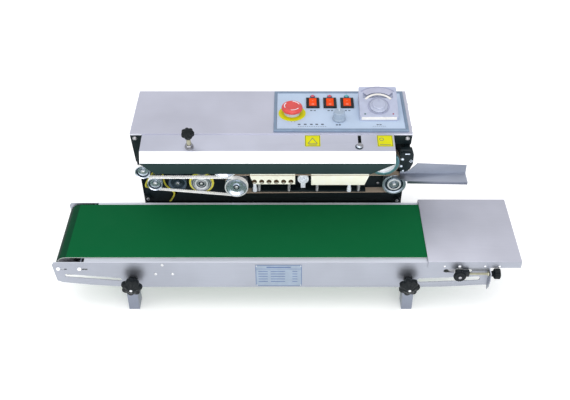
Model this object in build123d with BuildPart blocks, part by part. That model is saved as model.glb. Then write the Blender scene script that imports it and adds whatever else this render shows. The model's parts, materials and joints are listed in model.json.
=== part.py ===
"""Table-top continuous band sealer: a sealing head behind a height-adjustable belt conveyor.

Frame: origin on the table at the centre of the footprint, +X towards the infeed end (right),
+Y towards the back of the sealing head, +Z up.  Millimetres.
"""
from build123d import *
import math
import os

os.makedirs("parts", exist_ok=True)

# ---------------------------------------------------------------- driving dimensions
SHEET = 1.2             # stainless sheet
PLATE = 1.5             # painted steel sheet
FIT = 0.05              # radial running clearance of a shaft
BELT_GAP = 0.3          # clearance between a pulley and the belt round it

# sealing head
HEAD_X = (-285.5, 229.5)
HEAD_BACK = 184.0                   # outer face of the back screws
BACK_SHEET = 182.2                  # outer face of the back cover
PAN_BACK = 180.0
COVER_Y = (8.5, 150.0)
COVER_TOP = 290.0
PLATE_Y = (52.0, 57.0)              # mechanism plate
SIDE_L = (-284.0, -282.5)
SIDE_R = (226.5, 228.0)
FOOT_H = 8.0
GUARD_X = (-263.0, 195.0)

# sealing line and the pulleys round it
SEAL_Z = 178.5                      # where the two bands meet
HALF_GAP = 0.15
SEAL_T = 0.5                        # heat-proof seal band thickness
GUIDE_T = 1.5                       # toothed guide belt thickness
GUIDE_Y = (18.0, 26.0)
SEAL_Y = (28.0, 43.0)
SHAFT_R = 5.0
DRIVE_SEAL_R = 21.5                 # drive wheel, seal band track
DRIVE_GUIDE_R = 20.5                # drive wheel, guide belt track
GUIDE_PULLEY_R = 12.5
LOWER_INFEED_R = 20.05
UPPER_INFEED_R = 30.0
EMBOSS_R = 20.0
LOWER_DRIVE_X = -97.0
GEAR_MODULE = 1.5
GEAR_TEETH = 33
LOWER_GUIDE_X = -253.0
UPPER_GUIDE_X = -273.5
IDLER = (-211.0, 158.0)
IDLER_R = 17.5
EMBOSS_X = -165.0
UPPER_EMBOSS_X = -163.0
LOWER_INFEED_X = 207.0
UPPER_INFEED_X = 184.0
PRESS_X = 31.5
PRESS_R = 10.6

DRIVE_DZ = HALF_GAP + SEAL_T + BELT_GAP + DRIVE_SEAL_R
GUIDE_DZ = HALF_GAP + GUIDE_T + BELT_GAP + GUIDE_PULLEY_R
LOWER_INFEED_DZ = HALF_GAP + SEAL_T + BELT_GAP + LOWER_INFEED_R
UPPER_INFEED_DZ = HALF_GAP + SEAL_T + BELT_GAP + UPPER_INFEED_R
EMBOSS_DZ = HALF_GAP * 2 + EMBOSS_R
GEAR_CENTRES = GEAR_MODULE * GEAR_TEETH
UPPER_DRIVE_X = LOWER_DRIVE_X - math.sqrt(GEAR_CENTRES ** 2 - (2 * DRIVE_DZ) ** 2)

LOWER_DRIVE = (LOWER_DRIVE_X, SEAL_Z - DRIVE_DZ)
UPPER_DRIVE = (UPPER_DRIVE_X, SEAL_Z + DRIVE_DZ)
LOWER_GUIDE = (LOWER_GUIDE_X, SEAL_Z - GUIDE_DZ)
UPPER_GUIDE = (UPPER_GUIDE_X, SEAL_Z + GUIDE_DZ)
LOWER_EMBOSS = (EMBOSS_X, SEAL_Z - EMBOSS_DZ)
UPPER_EMBOSS = (UPPER_EMBOSS_X, SEAL_Z + EMBOSS_DZ)
LOWER_INFEED = (LOWER_INFEED_X, SEAL_Z - LOWER_INFEED_DZ)
UPPER_INFEED = (UPPER_INFEED_X, SEAL_Z + UPPER_INFEED_DZ)
PRESS = (PRESS_X, SEAL_Z - HALF_GAP - SEAL_T - BELT_GAP - PRESS_R)
SHAFTS = [LOWER_DRIVE, UPPER_DRIVE, LOWER_GUIDE, UPPER_GUIDE, LOWER_EMBOSS, UPPER_EMBOSS,
          IDLER, LOWER_INFEED, UPPER_INFEED]

# heating and cooling blocks
BLOCK_Y = (27.0, 44.0)
HEATING_X = (47.0, 158.0)
COOLING_X = (-71.0, 16.0)
HEATING_H = 22.6
COOLING_H = 20.6
BLOCK_GAP = HALF_GAP + SEAL_T + 0.25
COOLING_HOLES = 6
COOLING_PITCH = 14.1
RAIL_DZ = 35.5                      # seal line to the near face of a block carrier

# control panel
PANEL_X = (-24.0, 223.5)
PANEL_Y = (14.5, 145.0)
FACE_Z = COVER_TOP + 2.2
SWITCH_X = (49.4, 81.9, 114.4)
SWITCH_Y = 104.0
SWITCH_SIZE = (25.0, 33.0)
ROCKER_SIZE = (14.0, 11.4)          # width, tilt radius
ROCKER_TILT = 9.0
LAMP_Y = 127.0
ESTOP = (10.0, 70.5)
SPEED = (97.0, 52.0)
THERMO_X = (135.5, 206.5)
THERMO_Y = (46.6, 118.6)
THERMO_Z = (301.0, 320.0)           # front and back height of the sloping top
DIAL_R = 17.0

# pressure knob on the guard
PRESSURE = (-174.5, -24.0)

# conveyor
RAIL_Y = (-155.0, 12.0)
RAIL_X = (-423.0, 368.0)
RAIL_TOP = 123.3
RAIL_BOTTOM = 61.0
BELT_Y = (-142.5, 4.5)
BELT_TOP = 124.7
BELT_T = 2.0
ROLLER_R = 20.0
LEFT_ROLLER_X = -399.0
DRIVE_ROLLER_X = -222.5
TAIL_ROLLER_X = 312.0
ROLLER_Z = BELT_TOP - BELT_T - BELT_GAP - ROLLER_R
TABLE_X = (254.5, 423.0)
TABLE_Y = (-156.3, 18.0)
TABLE_TOP = 126.5
LEG_X = (-287.0, 225.5)
CLAMP_X = (-281.5, 221.5)            # knob and slot, off the middle of each leg
CLAMP_Z = 80.0
KNOB_FRONT = -184.0
CARRIAGE_ROD = (-160.2, 100.5)      # Y and Z of the tension screw
TENSION_R = 2.5

RADIAL = {"X": (0, 1, 0), "Y": (1, 0, 0), "Z": (1, 0, 0)}
ALONG = {"X": (1, 0, 0), "Y": (0, 1, 0), "Z": (0, 0, 1)}
TURN = {"X": (0, 90, 0), "Y": (90, 0, 0), "Z": (0, 0, 0)}


# ---------------------------------------------------------------- helpers
def block(x, y, z, mode=Mode.ADD):
    """A box between the low and high values given for each axis."""
    centre = [(low + high) / 2 for low, high in (x, y, z)]
    with Locations(tuple(centre)):
        Box(x[1] - x[0], y[1] - y[0], z[1] - z[0], mode=mode)


def rod(axis, centre, radius, span, mode=Mode.ADD):
    """A cylinder along an axis; centre gives the other two coordinates in X, Y, Z order."""
    place = list(centre)
    place.insert("XYZ".index(axis), (span[0] + span[1]) / 2)
    with Locations(tuple(place)):
        Cylinder(radius, span[1] - span[0], rotation=TURN[axis], mode=mode)


def turned_on(base, points, mode=Mode.ADD):
    """A solid turned about a plane's normal from (radius, height above the plane) points."""
    with BuildSketch(Plane(origin=base.origin, x_dir=base.x_dir, z_dir=-base.y_dir)) as profile:
        with BuildLine():
            Polyline(*points, close=True)
        make_face()
    revolve(profile.sketch, axis=Axis(base.origin, base.z_dir), mode=mode)


def turned(axis, centre, points, mode=Mode.ADD):
    """A solid turned about X, Y or Z from (radius, distance along the axis) points."""
    place = list(centre)
    place.insert("XYZ".index(axis), 0)
    base = Plane(origin=tuple(place), x_dir=RADIAL[axis], z_dir=ALONG[axis])
    turned_on(base, points, mode=mode)


def prism_yz(points, x, mode=Mode.ADD):
    """A (Y, Z) outline extruded between two X values."""
    with BuildSketch(Plane.YZ.offset(x[0])) as profile:
        with BuildLine():
            Polyline(*points, close=True)
        make_face()
    extrude(profile.sketch, amount=x[1] - x[0], mode=mode)


def prism_xz(points, y, mode=Mode.ADD):
    """An (X, Z) outline extruded between two Y values."""
    with BuildSketch(Plane.XZ.offset(-y[1])) as profile:
        with BuildLine():
            Polyline(*points, close=True)
        make_face()
    extrude(profile.sketch, amount=y[1] - y[0], mode=mode)


def prism_xy(points, z, mode=Mode.ADD):
    """An (X, Y) outline extruded between two Z values."""
    with BuildSketch(Plane.XY.offset(z[0])) as profile:
        with BuildLine():
            Polyline(*points, close=True)
        make_face()
    extrude(profile.sketch, amount=z[1] - z[0], mode=mode)


def slot_xz(start, end, width, y):
    """A round-ended slot cut through a plate that faces Y, between two (X, Z) end centres."""
    with BuildSketch(Plane.XZ.offset(-y[1])) as profile:
        run = Vector(*end) - Vector(*start)
        middle = (Vector(*start) + Vector(*end)) / 2
        with Locations(middle):
            tilt = math.degrees(math.atan2(run.Y, run.X))
            SlotCenterToCenter(run.length, width, rotation=tilt)
    extrude(profile.sketch, amount=y[1] - y[0], mode=Mode.SUBTRACT)


def loop_outline(first, first_r, second, second_r):
    """Lines and arcs round two circles, as a belt runs; in sketch coordinates."""
    start, end = Vector(*first), Vector(*second)
    span = end - start
    heading = math.atan2(span.Y, span.X)
    spread = math.acos((first_r - second_r) / span.length)

    def on(centre, radius, angle):
        return centre + Vector(math.cos(angle), math.sin(angle)) * radius

    with BuildLine() as outline:
        Line(on(start, first_r, heading + spread), on(end, second_r, heading + spread))
        ThreePointArc(on(end, second_r, heading + spread), on(end, second_r, heading),
                      on(end, second_r, heading - spread))
        Line(on(end, second_r, heading - spread), on(start, first_r, heading - spread))
        ThreePointArc(on(start, first_r, heading - spread), on(start, first_r, heading + math.pi),
                      on(start, first_r, heading + spread))
    return outline.line


def belt_loop(first, first_r, second, second_r, thickness, y):
    """A flat belt round two pulleys, each given by centre (X, Z) and inside belt radius."""
    with BuildSketch(Plane.XZ.offset(-y[1])) as profile:
        make_face(loop_outline(first, first_r + thickness, second, second_r + thickness).edges())
        make_face(loop_outline(first, first_r, second, second_r).edges(), mode=Mode.SUBTRACT)
    extrude(profile.sketch, amount=y[1] - y[0])


def gear_teeth(centre, phase, y):
    """A spur gear blank with straight-flanked teeth; one tooth points at the phase angle."""
    pitch = 2 * math.pi / GEAR_TEETH
    pitch_r = GEAR_MODULE * GEAR_TEETH / 2
    root_r, tip_r = pitch_r - 1.85, pitch_r + 1.3
    outline = []
    for tooth in range(GEAR_TEETH):
        middle = phase + tooth * pitch
        for radius, share in ((root_r, -0.27), (tip_r, -0.11), (tip_r, 0.11), (root_r, 0.27)):
            angle = middle + share * pitch
            outline.append((centre[0] + radius * math.cos(angle),
                            centre[1] + radius * math.sin(angle)))
    prism_xz(outline, y)


def lobed(base, core_r, lobe_r, ring_r, lobes, depth):
    """A star-knob head: a round core with lobes on a ring, standing on a plane."""
    with BuildSketch(base) as profile:
        Circle(core_r)
        with PolarLocations(ring_r, lobes):
            Circle(lobe_r)
    extrude(profile.sketch, amount=depth)


def lead(points, radius):
    """A round lead along straight runs joined by the largest tangent arcs that fit."""
    arcs = []
    for before, corner, after in zip(points, points[1:], points[2:]):
        run_in, run_out = Vector(*corner) - Vector(*before), Vector(*after) - Vector(*corner)
        half_turn = math.radians(run_in.get_angle(run_out)) / 2
        arcs.append(0.45 * min(run_in.length, run_out.length) / math.tan(half_turn))
    print("lead arcs", [round(value, 1) for value in arcs])
    with BuildLine() as route:
        FilletPolyline(*points, radius=arcs)
    with BuildSketch(Plane(origin=points[0], z_dir=route.line % 0)) as section:
        Circle(radius)
    sweep(section.sketch, path=route.line)


def save(builder, label):
    """Label a finished piece and write its STEP file."""
    builder.part.label = label
    export_step(builder.part, f"parts/{label}.step")


# ---------------------------------------------------------------- head: frame and covers
with BuildPart() as base_pan:
    block((SIDE_L[1] + 0.2, SIDE_R[0] - 0.2), (51.0, PAN_BACK), (FOOT_H, FOOT_H + 2))
    block((SIDE_L[1] + 0.2, SIDE_R[0] - 0.2), (49.5, 51.5), (FOOT_H, 91))
    block((SIDE_L[1] + 0.2, SIDE_R[0] - 0.2), (PAN_BACK - PLATE, PAN_BACK), (FOOT_H, 40))
    for x in (SIDE_L[1] + 0.2, SIDE_R[0] - 1.7):
        block((x, x + PLATE), (49.5, PAN_BACK), (FOOT_H, 40))
    with GridLocations(24, 14, 8, 4):
        with Locations((-28, 118, FOOT_H + 1)):
            Cylinder(3, 6, mode=Mode.SUBTRACT)
save(base_pan, "base_pan")

with BuildPart() as rubber_feet:
    for x in (-262.0, 206.0):
        for y in (72.0, 163.0):
            turned("Z", (x, y), [(0, 0), (13, 0), (14, 2), (12, FOOT_H), (0, FOOT_H)])
save(rubber_feet, "rubber_feet")

with BuildPart() as mechanism_plate:
    block((-282.0, 226.0), PLATE_Y, (93, 285.5))
    for place in ((-275.3, 104.8), (218.4, 100.5)):
        rod("Y", place, 7.0, (46.0, PLATE_Y[0]))
    for x, z in SHAFTS:
        rod("Y", (x, z), 8.0, (46.0, PLATE_Y[0]))
    block((-282.0, 226.0), (PLATE_Y[1], PLATE_Y[1] + 12), (93, 95))
    for x, z in SHAFTS:
        rod("Y", (x, z), SHAFT_R + FIT, (45.0, 60.0), mode=Mode.SUBTRACT)
    for x, z in ((-238.0, 205.8), (-262.0, 210.6), (-222.0, 114.0), (-247.0, 125.0)):
        rod("Y", (x, z), 5.0, (50.0, 60.0), mode=Mode.SUBTRACT)
save(mechanism_plate, "mechanism_plate")

SIDE_OUTLINE = [(9.0, 286.5), (149.0, 286.5), (BACK_SHEET - 3, 208.0), (BACK_SHEET - 3, FOOT_H + 2),
                (53.0, FOOT_H + 2), (53.0, 98.0), (44.0, 163.0), (32.0, 199.0)]
SLOPE = math.atan2(32.0 - 9.0, 286.5 - 199.0)     # front edge, from vertical
FLANGE_NORMAL = (0, -math.cos(SLOPE), -math.sin(SLOPE))


def side_plate(x, flange_points, louvre_y):
    """An end plate with a folded front flange and a row of vents."""
    prism_yz(SIDE_OUTLINE, x)
    flange = Plane(origin=(0, 9.0, 286.5), x_dir=(1, 0, 0), z_dir=FLANGE_NORMAL)
    with BuildSketch(flange) as fold:
        with BuildLine():
            Polyline(*flange_points, close=True)
        make_face()
    extrude(fold.sketch, amount=-PLATE)
    with BuildSketch(Plane.YZ.offset(x[0] - 1)) as vents:
        with Locations((louvre_y, 120)):
            with GridLocations(0, 13, 1, 7):
                SlotOverall(56, 5)
    extrude(vents.sketch, amount=4, mode=Mode.SUBTRACT)


with BuildPart() as left_side_plate:
    side_plate(SIDE_L, [(-285.4, 0), (-263.5, 0), (-266.5, -30), (-276.0, -78), (-285.4, -78)], 120)
save(left_side_plate, "left_side_plate")

with BuildPart() as right_side_plate:
    side_plate(SIDE_R, [(229.4, 0), (195.5, 0), (198.0, -26), (229.4, -26)], 120)
    prism_xz([(209.0, 262), (230.0, 262), (234.0, 250), (234.0, 230), (229.0, 216), (220.0, 210),
              (211.0, 213)], (-2.0, 6.0))
    block((216.0, 227.5), (5.0, 30.0), (226.0, 260.0))
    with BuildSketch(Plane.XZ.offset(2)):
        with Locations((219.0, 248)):
            RectangleRounded(18, 19, 3)
    extrude(amount=4)
save(right_side_plate, "right_side_plate")

with BuildPart() as top_cover:
    block(HEAD_X, COVER_Y, (COVER_TOP - SHEET, COVER_TOP))
    for x in ((HEAD_X[0], HEAD_X[0] + SHEET), (HEAD_X[1] - SHEET, HEAD_X[1])):
        block(x, (30.0, COVER_Y[1]), (276, COVER_TOP))
    for x in ((HEAD_X[0], GUARD_X[0] - 0.5), (GUARD_X[1] + 0.5, HEAD_X[1])):
        block(x, (COVER_Y[0], COVER_Y[0] + SHEET), (286.8, COVER_TOP))
    for x in SWITCH_X:
        block((x - 11.5, x + 11.5), (SWITCH_Y - 14, SWITCH_Y + 14), (285, 292), mode=Mode.SUBTRACT)
    rod("Z", SPEED, 4.0, (280, 300), mode=Mode.SUBTRACT)
    rod("Z", ESTOP, 11.2, (280, 300), mode=Mode.SUBTRACT)
save(top_cover, "top_cover")

GUARD_LINE = [(17.0, 288.0), (8.5, 288.0), (-35.0, 282.6), (-47.0, 265.5), (-39.0, 235.0)]
LIP_SLOPE = math.atan2(GUARD_LINE[1][1] - GUARD_LINE[2][1], GUARD_LINE[1][0] - GUARD_LINE[2][0])


def on_guard(x, y):
    """The plane of the guard's upper face at a place on it."""
    height = GUARD_LINE[1][1] + (y - GUARD_LINE[1][0]) * math.tan(LIP_SLOPE)
    normal = (0, -math.sin(LIP_SLOPE), math.cos(LIP_SLOPE))
    return Plane(origin=(x, y, height + SHEET / 2 + 0.02), x_dir=(1, 0, 0), z_dir=normal)


GUARD_TOP = on_guard(*PRESSURE)

with BuildPart() as safety_guard:
    with BuildSketch(Plane.YZ.offset(GUARD_X[0])):
        with BuildLine():
            FilletPolyline(*GUARD_LINE, radius=1.6)
            offset(amount=SHEET / 2, side=Side.BOTH, kind=Kind.ARC)
        make_face()
    extrude(amount=GUARD_X[1] - GUARD_X[0])
    for edge, run in ((GUARD_X[0], 26.0), (GUARD_X[1], -46.0)):
        prism_xz([(edge - math.copysign(5, run), 266), (edge, 263), (edge + run, 232),
                  (edge - math.copysign(5, run), 232)], (-60.0, -20.0), mode=Mode.SUBTRACT)
    with Locations(GUARD_TOP):
        Cylinder(4.0 + FIT, 30, mode=Mode.SUBTRACT)
    block((129, 135), (-14, 6), (270, 300), mode=Mode.SUBTRACT)
save(safety_guard, "safety_guard")

with BuildPart() as back_cover:
    with BuildSketch(Plane.YZ.offset(SIDE_L[1] + 0.3)):
        with BuildLine():
            Polyline((149.2, 287.4), (BACK_SHEET - 0.6, 208.5), (BACK_SHEET - 0.6, 30.0))
            offset(amount=SHEET / 2, side=Side.BOTH, kind=Kind.ARC)
        make_face()
    extrude(amount=SIDE_R[0] - SIDE_L[1] - 0.6)
    with BuildSketch(Plane.XZ.offset(-(HEAD_BACK + 2))):
        with Locations((120, 120)):
            with GridLocations(0, 11, 1, 6):
                SlotOverall(60, 5)
        with Locations((-120, 150)):
            with GridLocations(0, 13, 1, 6):
                SlotOverall(120, 5)
        with Locations((-230, 62)):
            Rectangle(28.4, 21.4)
    extrude(amount=6, mode=Mode.SUBTRACT)
save(back_cover, "back_cover")

with BuildPart() as head_screws:
    for x, y, z in ((-277.0, 9.8, 279.5), (220.5, 9.8, 279.5)):
        turned("Y", (x, z), [(0, y - 4.0), (2.5, y - 3.6), (4.2, y - 1.5), (4.2, y - 0.4),
                             (0, y - 0.4)])
    for x in (-240.0, -28.0, 184.0):
        for z in (44.0, 190.0):
            turned("Y", (x, z), [(0, BACK_SHEET), (4, BACK_SHEET), (3.6, HEAD_BACK - 0.6),
                                 (2.4, HEAD_BACK), (0, HEAD_BACK)])
    for side, out in ((HEAD_X[0], -1), (HEAD_X[1], 1)):
        for y in (40.0, 115.0):
            turned("X", (y, 281.5), [(0, side), (4.0, side), (4.0, side + out * 1.2),
                                     (2.6, side + out * 2.2), (0, side + out * 2.2)])
    turned_on(on_guard(131.5, -22.0), [(0, 0), (6.5, 0), (6.5, 1.2), (4.5, 1.4), (4.0, 4.2),
                                       (0, 4.6)])
save(head_screws, "head_screws")

with BuildPart() as support_arms:
    for x in LEG_X:
        inward = 20 if x < 0 else -20
        block((x - 10, x + 10), (-153.3, -150.3), (0, 112))
        for side in (-10, 8):
            block((x + side, x + side + 2), (-153.3, -125), (0, 56))
        block((x - 8.5, x + 8.5), (-151, 49.3), (40, 56))
        block((x - 8.5, x + 8.5), (7.6, 10.2), (50, 112))
        block((min(x - 12, x - 12 + inward), max(x + 12, x + 12 + inward)), (47, 49.3), (34, 70))
    for x in CLAMP_X:
        for y in ((-160, -140), (5, 14)):
            slot_xz((x, CLAMP_Z - 4.5), (x, CLAMP_Z + 21), 8.3, y)
save(support_arms, "support_arms")

with BuildPart() as infeed_tray:
    prism_xy([(201, 21), (229, 9), (343, 5.6), (343, 34), (217, 34), (217, 25.2), (201, 25.2)],
             (178.4, 179.6))
    prism_xy([(229, 9), (343, 5.6), (343, 6.8), (229, 10.2)], (173.5, 179.6))
    prism_xz([(217, 178.4), (217, 184), (234, 186), (249, 203.5), (343, 199), (343, 178.4)],
             (32.8, 34.0))
    block((228.3, 229.5), (33.0, 75.0), (180, 185.5))
    block((228.3, 229.5), (44.0, 75.0), (172, 196))
save(infeed_tray, "infeed_tray")

# ---------------------------------------------------------------- head: control panel
with BuildPart() as panel_bezel:
    block(PANEL_X, PANEL_Y, (COVER_TOP, COVER_TOP + 4))
    block((PANEL_X[0] + 6, PANEL_X[1] - 6), (PANEL_Y[0] + 6, PANEL_Y[1] - 6),
          (COVER_TOP - 1, COVER_TOP + 5), mode=Mode.SUBTRACT)
    chamfer(panel_bezel.faces().sort_by(Axis.Z)[-1].edges(), length=1.2)
save(panel_bezel, "panel_bezel")

with BuildPart() as panel_face:
    block((PANEL_X[0] + 6, PANEL_X[1] - 6), (PANEL_Y[0] + 6, PANEL_Y[1] - 6), (COVER_TOP, FACE_Z))
    for x in SWITCH_X:
        block((x - 11.5, x + 11.5), (SWITCH_Y - 14, SWITCH_Y + 14), (285, 295), mode=Mode.SUBTRACT)
        rod("Z", (x, LAMP_Y), 2.6, (289.0, 295), mode=Mode.SUBTRACT)
    rod("Z", SPEED, 3.0 + FIT, (285, 300), mode=Mode.SUBTRACT)
    rod("Z", ESTOP, 11.2, (285, 300), mode=Mode.SUBTRACT)
save(panel_face, "panel_face")

THERMO_SLOPE = math.atan2(THERMO_Z[1] - THERMO_Z[0], THERMO_Y[1] - THERMO_Y[0])
THERMO_UP = (0, -math.sin(THERMO_SLOPE), math.cos(THERMO_SLOPE))
THERMO_TOP = Plane(origin=((THERMO_X[0] + THERMO_X[1]) / 2, THERMO_Y[0], THERMO_Z[0]),
                   x_dir=(1, 0, 0), z_dir=THERMO_UP)
DIAL_UP_SLOPE = 26.0                # dial centre, measured up the slope from the front edge
DIAL_TOP = Plane(origin=THERMO_TOP.from_local_coords(Vector(0, DIAL_UP_SLOPE, 0)),
                 x_dir=(1, 0, 0), z_dir=THERMO_UP)

with BuildPart() as indicator_lamps:
    for x in SWITCH_X:
        turned("Z", (x, LAMP_Y), [(0, COVER_TOP + 0.2), (2.5, COVER_TOP + 0.2), (2.5, FACE_Z),
                                  (4.5, FACE_Z), (4.5, 294.0), (3.0, 295.8), (0, 296.4)])
save(indicator_lamps, "indicator_lamps")

with BuildPart() as rocker_frames:
    for x in SWITCH_X:
        block((x - SWITCH_SIZE[0] / 2, x + SWITCH_SIZE[0] / 2),
              (SWITCH_Y - SWITCH_SIZE[1] / 2, SWITCH_Y + SWITCH_SIZE[1] / 2), (FACE_Z, 295.0))
        block((x - 11.3, x + 11.3), (SWITCH_Y - 13.8, SWITCH_Y + 13.8), (270, FACE_Z))
    for x in SWITCH_X:
        block((x - 7.5, x + 7.5), (SWITCH_Y - 12.0, SWITCH_Y + 12.0), (275, 300), mode=Mode.SUBTRACT)
save(rocker_frames, "rocker_frames")

ROCKER_Z = 291.5
for number, x in enumerate(SWITCH_X, start=1):
    tilt = math.radians(ROCKER_TILT)
    radius = ROCKER_SIZE[1]
    low, high = ROCKER_Z + 3.2, ROCKER_Z + 3.2 + radius * math.tan(2 * tilt)
    with BuildPart() as rocker:
        with BuildSketch(Plane.YZ.offset(x - ROCKER_SIZE[0] / 2)):
            with Locations((SWITCH_Y, ROCKER_Z)):
                Circle(radius)
            with BuildLine():
                Polyline((SWITCH_Y - 20, ROCKER_Z + 30), (SWITCH_Y - 20, low), (SWITCH_Y, low),
                         (SWITCH_Y + radius, high), (SWITCH_Y + 20, high + 3),
                         (SWITCH_Y + 20, ROCKER_Z + 30), close=True)
            make_face(mode=Mode.SUBTRACT)
        extrude(amount=ROCKER_SIZE[0])
    save(rocker, f"rocker_{number}")

with BuildPart() as estop_base:
    turned("Z", ESTOP, [(10.05, 280), (11, 280), (11, FACE_Z), (25.5, FACE_Z), (25.5, FACE_Z + 1.2),
                        (15, FACE_Z + 1.2), (13.5, FACE_Z + 6.5), (10.05, FACE_Z + 6.5)])
save(estop_base, "estop_base")

with BuildPart() as estop_button:
    turned("Z", ESTOP, [(0, 283), (10, 283), (10, 306), (15.8, 306), (15.8, 301), (17.8, 301.2),
                        (19.4, 302.4), (19.8, 304.5), (19.3, 307.5), (17.6, 309.4), (15.6, 310.0),
                        (13.0, 309.6), (0, 309.8)])
save(estop_button, "estop_button")

with BuildPart() as speed_knob:
    turned("Z", SPEED, [(0, 286), (3, 286), (3, FACE_Z + 0.5), (12.5, FACE_Z + 0.5), (12.5, 296),
                        (11, 297), (10.2, 308.5), (9.2, 309.5), (0, 309.5)])
    block((SPEED[0] - 0.6, SPEED[0] + 0.6), (SPEED[1] + 2, SPEED[1] + 9.0), (309.0, 310.1))
save(speed_knob, "speed_knob")

with BuildPart() as thermostat_housing:
    prism_yz([(THERMO_Y[0], FACE_Z), (THERMO_Y[1], FACE_Z), (THERMO_Y[1], THERMO_Z[1]),
              (THERMO_Y[0], THERMO_Z[0])], THERMO_X)
    fillet(thermostat_housing.edges().filter_by(Axis.Z), radius=3)
    with BuildSketch(THERMO_TOP):
        with Locations((0, 53)):
            Rectangle(56, 14)
    extrude(amount=-4, mode=Mode.SUBTRACT)
    with Locations(DIAL_TOP):
        Cylinder(3 + FIT, 16, mode=Mode.SUBTRACT)
save(thermostat_housing, "thermostat_housing")

with BuildPart() as thermostat_dial:
    turned_on(DIAL_TOP, [(0, -7.5), (3, -7.5), (3, 0.5), (DIAL_R, 0.5), (DIAL_R, 5), (DIAL_R - 1, 6),
                         (12.5, 6), (12, 10.5), (0, 10.5)])
    with Locations(DIAL_TOP):
        with Locations((0, 7, 10.7)):
            Box(1.4, 9, 1.0)
save(thermostat_dial, "thermostat_dial")

with BuildPart() as pressure_knob:
    turned_on(GUARD_TOP, [(0, -34), (4, -34), (4, 0.6), (9.5, 0.6), (9.5, 1.8), (4, 1.8), (4, 19),
                          (6, 19), (9, 27), (9, 36), (8, 38.2), (4, 39.2), (0, 39.4)])
    with BuildSketch(GUARD_TOP.offset(1.8)):
        RegularPolygon(8.0, 6)
    extrude(amount=5.5)
    lobed(GUARD_TOP.offset(26.5), 9.6, 3.2, 8.8, 7, 10)
save(pressure_knob, "pressure_knob")

# ---------------------------------------------------------------- head: blocks and bands
HEATING = [(HEATING_X[0], 0), (HEATING_X[1], 0), (HEATING_X[1] - 8, HEATING_H),
           (HEATING_X[0], HEATING_H)]
COOLING = [(COOLING_X[0], 0), (COOLING_X[1], 0), (COOLING_X[1], COOLING_H),
           (COOLING_X[0] + 6, COOLING_H)]
SIDES = (-1, 1)                     # below and above the seal line


def seal_side(points, side):
    """Place (X, distance from the seal line) points below or above the seal line."""
    return [(x, SEAL_Z + side * (BLOCK_GAP + depth)) for x, depth in points]


with BuildPart() as heating_blocks:
    for side in SIDES:
        prism_xz(seal_side(HEATING, side), BLOCK_Y)
        for x in (70.0, 135.0):
            rod("Y", (x, SEAL_Z + side * 12), 3.2, (BLOCK_Y[0] + 4, 50.0), mode=Mode.SUBTRACT)
save(heating_blocks, "heating_blocks")

with BuildPart() as cooling_blocks:
    for side in SIDES:
        prism_xz(seal_side(COOLING, side), BLOCK_Y)
        for hole in range(COOLING_HOLES):
            rod("Y", (COOLING_X[0] + 8.5 + hole * COOLING_PITCH, SEAL_Z + side * 14.1), 4.2,
                (20.0, 50.0), mode=Mode.SUBTRACT)
save(cooling_blocks, "cooling_blocks")

POSTS = [(-65.8 + 4, COOLING_H, 4.0), (-50.0, COOLING_H, 3.0), (4.1, COOLING_H, 3.0),
         (58.5, HEATING_H, 3.0), (120.7, HEATING_H, 4.0), (145.0, HEATING_H, 3.0)]
with BuildPart() as block_posts:
    for side in SIDES:
        near = SEAL_Z + side * RAIL_DZ
        far = near + side * 3.5
        for x in ((-68.0, 14.0), (50.0, 151.0)):
            block(x, (29.0, PLATE_Y[0]), (min(near, far), max(near, far)))
        for x, depth, radius in POSTS:
            top = SEAL_Z + side * (BLOCK_GAP + depth)
            rod("Z", (x, 35.5), radius, (min(top, far), max(top, far)))
    block((PRESS_X - 5, PRESS_X + 5), (36.5, 40.0), (143.0, PRESS[1] + 5))
    block((PRESS_X - 5, PRESS_X + 5), (36.5, PLATE_Y[0]), (139.5, 143.0))
    rod("Y", PRESS, 3.0, (28.5, 40.0))
save(block_posts, "block_posts")

with BuildPart() as press_roller:
    turned("Y", PRESS, [(3.0 + FIT, 29), (PRESS_R, 29), (PRESS_R, 36), (3.0 + FIT, 36)])
save(press_roller, "press_roller")

with BuildPart() as seal_bands:
    for first, second, radius in ((LOWER_DRIVE, LOWER_INFEED, LOWER_INFEED_R),
                                  (UPPER_DRIVE, UPPER_INFEED, UPPER_INFEED_R)):
        belt_loop(first, DRIVE_SEAL_R + BELT_GAP, second, radius + BELT_GAP, SEAL_T, SEAL_Y)
save(seal_bands, "seal_bands")

with BuildPart() as guide_belts:
    for first, second in ((LOWER_GUIDE, LOWER_DRIVE), (UPPER_GUIDE, UPPER_DRIVE)):
        belt_loop(first, GUIDE_PULLEY_R + BELT_GAP, second, DRIVE_GUIDE_R + BELT_GAP, GUIDE_T,
                  GUIDE_Y)
save(guide_belts, "guide_belts")

with BuildPart() as heater_leads:
    lead([(-238, 56, 207), (-238, 43.3, 203), (-233, 43.3, 184), (-230, 43.3, 166),
          (-223, 43.3, 146), (-222, 43.3, 124), (-222, 56, 112)], 1.2)
    lead([(-262, 56, 212), (-262, 43.3, 207), (-264, 43.3, 188), (-267, 43.3, 168),
          (-260, 43.3, 148), (-250, 43.3, 132), (-246, 56, 123)], 1.2)
save(heater_leads, "heater_leads")


# ---------------------------------------------------------------- head: wheels
def drive_wheel(centre):
    """A stepped drive wheel: toothed-belt track in front, seal-band track behind, dished face."""
    turned("Y", centre, [(0, 20.5), (8, 20.5), (16, 18.2), (18, 17), (DRIVE_GUIDE_R, 17),
                         (DRIVE_GUIDE_R, 27), (DRIVE_SEAL_R, 27), (DRIVE_SEAL_R, 44),
                         (9, 44), (9, 45.5), (SHAFT_R - 1, 45.5), (SHAFT_R - 1, 42), (0, 42)])
    rod("Y", centre, 3.0, (16.5, 21))


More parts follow.
